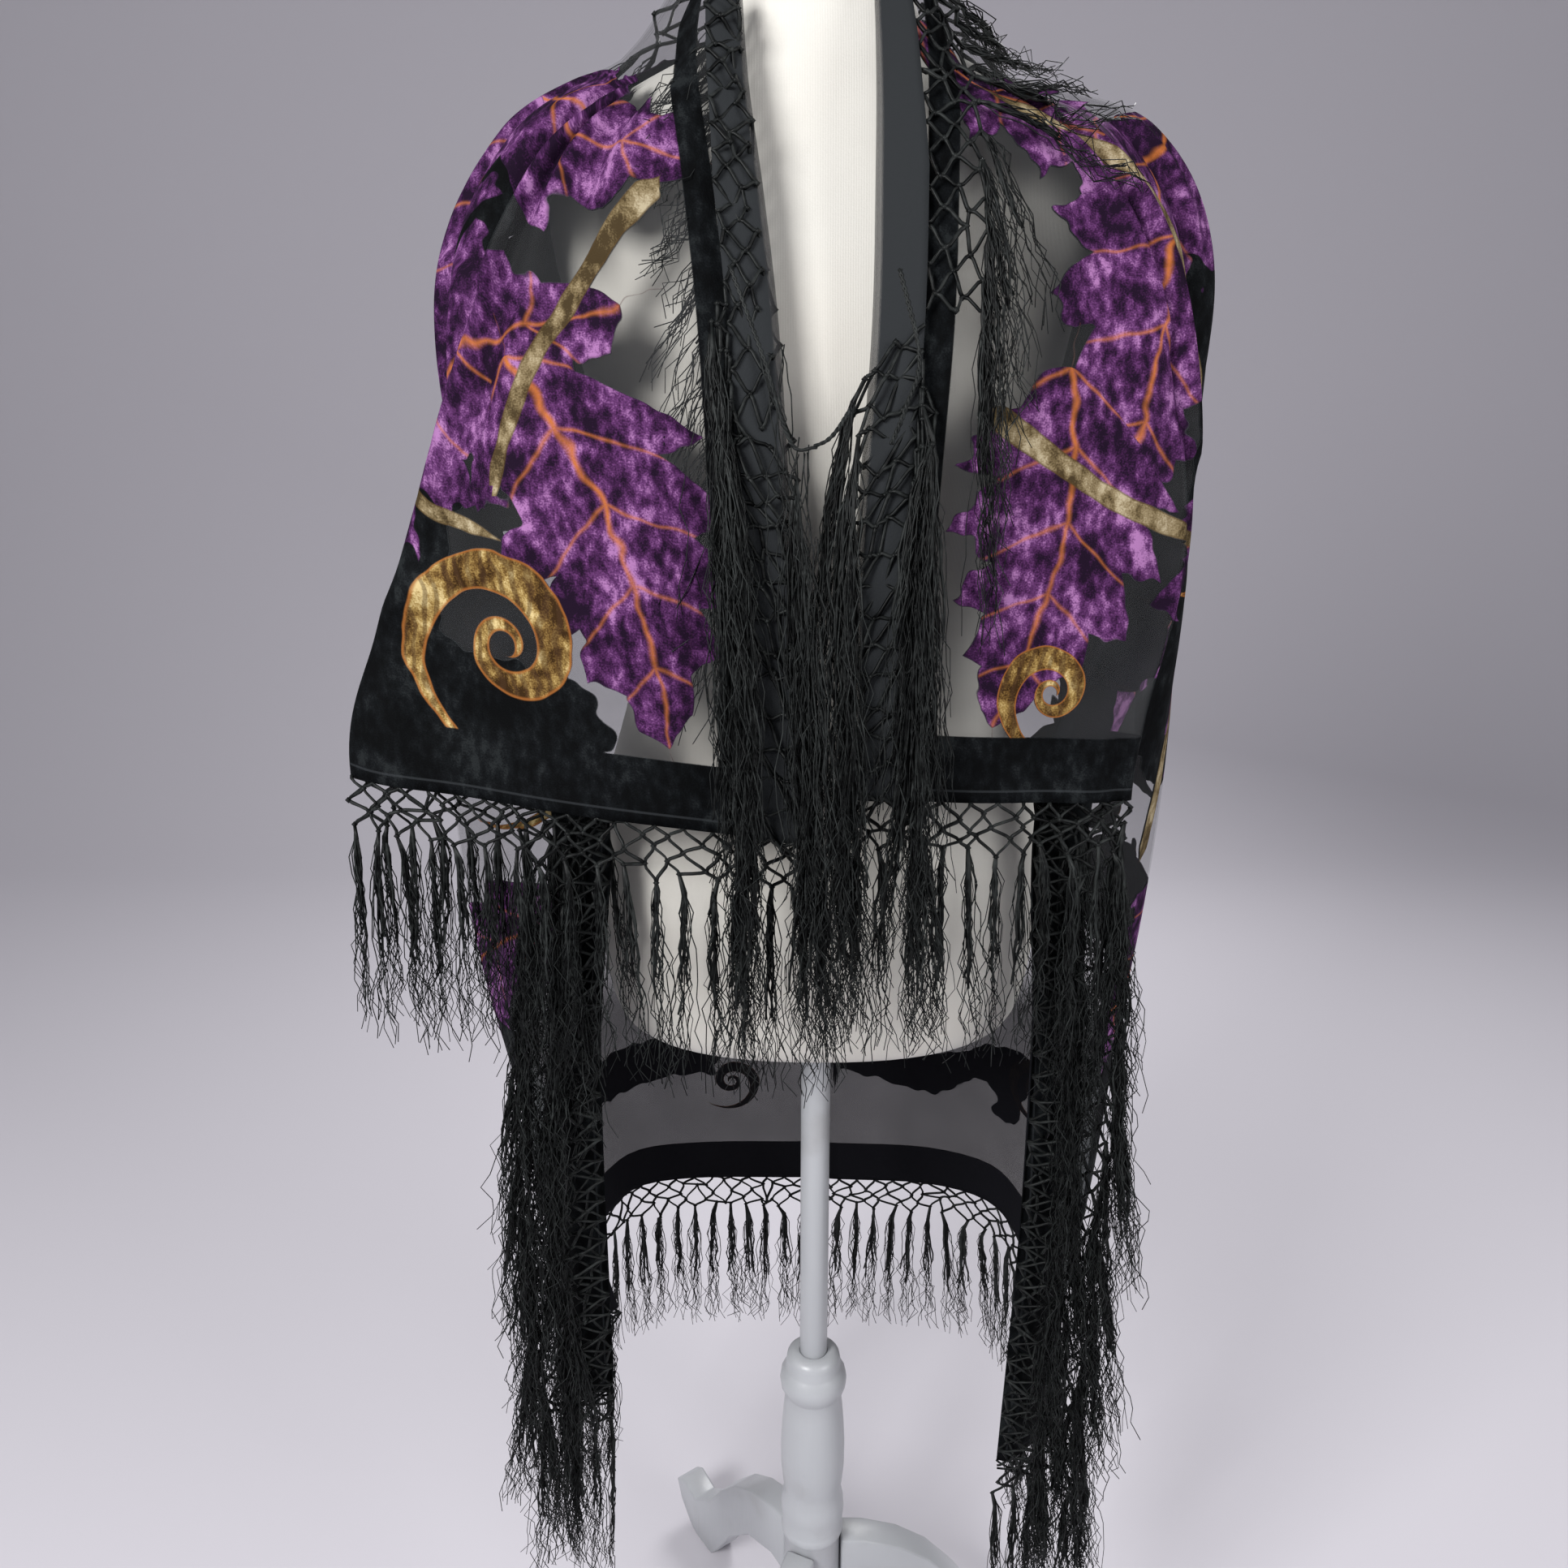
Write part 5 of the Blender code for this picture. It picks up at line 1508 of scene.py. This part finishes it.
def back_hem_fringe(rng):
    strands = Strands()
    places = np.concatenate([GRID[-1][-1, BACK_BOTTOM], GRID[1][-1, BACK_BOTTOM][::-1][1:]])
    normals = np.concatenate([NORMAL[-1][-1, BACK_BOTTOM], NORMAL[1][-1, BACK_BOTTOM][::-1][1:]])
    hang_fringe(strands, *hem_sheet(places, level(normals)), rng)
    finish_fringe(strands, "back_hem")


NAPE_FROM_U = 7
NAPE_LIFT = 0.0068
NAPE_TASSEL_SHARE = 0.62


def nape_fringe(rng):
    """Folded outward over the upper back, with shorter tassels in view."""
    first = column_at(NAPE_FROM_U)
    columns = [(-1, c) for c in range(first, len(U_PLACES))]
    columns += [(1, c) for c in range(len(U_PLACES) - 2, first - 1, -1)]
    drops = np.where(DROPS > NET_DEPTH, NET_DEPTH + (DROPS - NET_DEPTH) * NAPE_TASSEL_SHARE, DROPS)
    sheets = []
    for side, c in columns:
        fallen = FLAT_Y[side][0, c] - FLAT_Y[side][:, c]
        down = [np.interp(drops, fallen, GRID[side][:, c, k]) for k in range(3)]
        out = [np.interp(drops, fallen, NORMAL[side][:, c, k]) for k in range(3)]
        out = unit(np.stack(out, 1))
        lift = NAPE_LIFT * smooth(drops / 0.008) + 0.0005
        top = np.array([0.0, 0.0, 0.0022]) * (1 - smooth(drops / 0.006))[:, None]
        sheets.append(np.stack([np.stack(down, 1) + level(out) * lift[:, None] + top, out]))
    sheets = np.array(sheets)
    walked = walked_along(sheets[:, 0, 0])
    place = np.interp(half_pitches(walked), walked, np.arange(len(walked)))
    low = np.minimum(place.astype(int), len(walked) - 2)
    part = (place - low)[:, None, None, None]
    mixed = sheets[low] * (1 - part) + sheets[low + 1] * part
    strands = Strands()
    hang_fringe(strands, mixed[:, 0], unit(mixed[:, 1]), rng, 0.8)
    finish_fringe(strands, "nape")


# %% [markdown]
# A few cords have come loose from the net and cross the open front, and some single threads hang in
# the gap. Their points are listed one by one.
# %% Loose cords
LOOSE_CORDS = (
    ((-0.036, -0.158, 1.278), (-0.017, -0.166, 1.228), (-0.001, -0.168, 1.181), (0.014, -0.168, 1.178)),
    ((0.061, -0.160, 1.276), (0.073, -0.166, 1.228), (0.066, -0.168, 1.201), (0.058, -0.167, 1.180)),
    ((0.034, -0.162, 1.200), (0.026, -0.168, 1.188), (0.020, -0.168, 1.182), (0.013, -0.168, 1.179)),
)
LOOSE_THREADS = (
    ((-0.008, -0.160, 1.235), (-0.006, -0.160, 1.150), (-0.010, -0.160, 1.070)),
    ((0.001, -0.162, 1.180), (0.004, -0.163, 1.100), (0.000, -0.163, 1.020)),
    ((0.010, -0.161, 1.170), (0.007, -0.162, 1.080), (0.011, -0.163, 0.990)),
    ((0.014, -0.160, 1.120), (0.016, -0.162, 1.040), (0.013, -0.163, 0.960)),
    ((0.004, -0.163, 1.060), (0.008, -0.164, 0.980), (0.005, -0.165, 0.900)),
)
TWISTS_A_METRE = 130.0
LOOSE_COPIES = 5
LOOSE_CORD_RADIUS, LOOSE_CORD_TWIST = 0.0009, 0.0008
LOOSE_THREAD_RADIUS, LOOSE_ASTRAY, LOOSE_KINK = 0.00045, 0.006, 0.0012


def smooth_line(points, steps):
    """A smooth curve through a few points."""
    points = np.array(points)
    padded = np.concatenate([[2 * points[0] - points[1]], points, [2 * points[-1] - points[-2]]])
    line = []
    for before, start, end, after in zip(padded, padded[1:], padded[2:], padded[3:]):
        for f in np.arange(steps) / steps:
            bend = 2 * start + (end - before) * f + (2 * before - 5 * start + 4 * end - after) * f * f
            line.append((bend + (3 * start - before - 3 * end + after) * f ** 3) / 2)
    return np.array(line + [points[-1]])


def loose_cords(strands, rng):
    for points in LOOSE_CORDS:
        line = smooth_line(points, 14)
        turn = walked_along(line) * TWISTS_A_METRE * 2 * np.pi
        for start in (0.0, np.pi):
            twist = np.stack([np.cos(turn + start), np.sin(turn + start), np.zeros(len(line))], 1)
            radii = np.full((1, len(line)), LOOSE_CORD_RADIUS)
            strands.tubes((line + twist * LOOSE_CORD_TWIST)[None], radii, 4, np.array([0.5]))
    for points in LOOSE_THREADS * LOOSE_COPIES:
        astray = rng.normal(0.0, LOOSE_ASTRAY, (len(points), 3)) * (1, 0.2, 1)
        line = smooth_line(np.array(points) + astray, 8)
        line = line + rng.normal(0.0, LOOSE_KINK, line.shape)
        strands.tubes(line[None], np.full((1, len(line)), LOOSE_THREAD_RADIUS), 3, np.array([0.4]))


for number, side in enumerate((-1, 1)):
    hem_fringe(side, HEM_ROW, HALF_FRONT, "front", np.random.default_rng(11 + number))
    lapel_fringe(side, np.random.default_rng(21 + number))
    hem_fringe(side, -1, WING_BOTTOM, "wing_hem", np.random.default_rng(31 + number))
    wing_edge_fringe(side, np.random.default_rng(41 + number))
back_hem_fringe(np.random.default_rng(51))
nape_fringe(np.random.default_rng(61))

# %% [markdown]
# ## Floor, backdrop and light
# A pale floor runs back and rises as a plain backdrop. A large soft light from the front left models
# the folds, and a weaker one from the right keeps the shadows open.
# %% Stage
FLOOR_SIZE, BACKDROP_HEIGHT, COVE_RADIUS = 7.0, 4.0, 1.2


def stage_material():
    material, wire, shader = new_material("studio_paper", roughness=0.9)
    shader.inputs["Base Color"].default_value = (0.56, 0.54, 0.58, 1.0)
    return material


deselect_all()
bpy.ops.mesh.primitive_plane_add(size=FLOOR_SIZE, location=(0.0, 0.0, 0.0))
floor = bpy.context.active_object
floor.name = "floor_and_backdrop"
settle(floor)
bpy.ops.object.mode_set(mode="EDIT")
bpy.ops.mesh.select_all(action="DESELECT")
bpy.ops.object.mode_set(mode="OBJECT")
for edge in floor.data.edges:
    edge.select = all(floor.data.vertices[v].co.y > FLOOR_SIZE * 0.4 for v in edge.vertices)
bpy.ops.object.mode_set(mode="EDIT")
bpy.ops.mesh.extrude_region_move(TRANSFORM_OT_translate={"value": (0.0, 0.0, BACKDROP_HEIGHT)})
bpy.ops.object.mode_set(mode="OBJECT")
floor.data.materials.append(stage_material())
apply_modifier(floor, "BEVEL", width=COVE_RADIUS, segments=12, limit_method="ANGLE")
floor.data.shade_smooth()


def area_light(name, place, aim, power, size):
    light = bpy.data.lights.new(name, "AREA")
    light.energy = power
    light.size = size
    obj = bpy.data.objects.new(name, light)
    obj.location = place
    obj.rotation_euler = (Vector(aim) - Vector(place)).to_track_quat("-Z", "Y").to_euler()
    bpy.context.scene.collection.objects.link(obj)


area_light("key_light", (-1.3, -1.7, 2.0), (0.0, 0.0, 1.0), 65.0, 0.9)
area_light("fill_light", (1.5, -1.2, 1.6), (0.0, 0.0, 1.0), 22.0, 1.0)
area_light("back_light", (0.7, 2.2, 2.2), (0.0, 0.0, 1.1), 46.0, 1.2)
bpy.context.scene.view_settings.view_transform = "Standard"
world = bpy.data.worlds.new("studio")
world.use_nodes = True
world.node_tree.nodes["Background"].inputs["Color"].default_value = (0.62, 0.62, 0.66, 1.0)
world.node_tree.nodes["Background"].inputs["Strength"].default_value = 0.55
bpy.context.scene.world = world
print("stage and lights", len(bpy.data.lights))
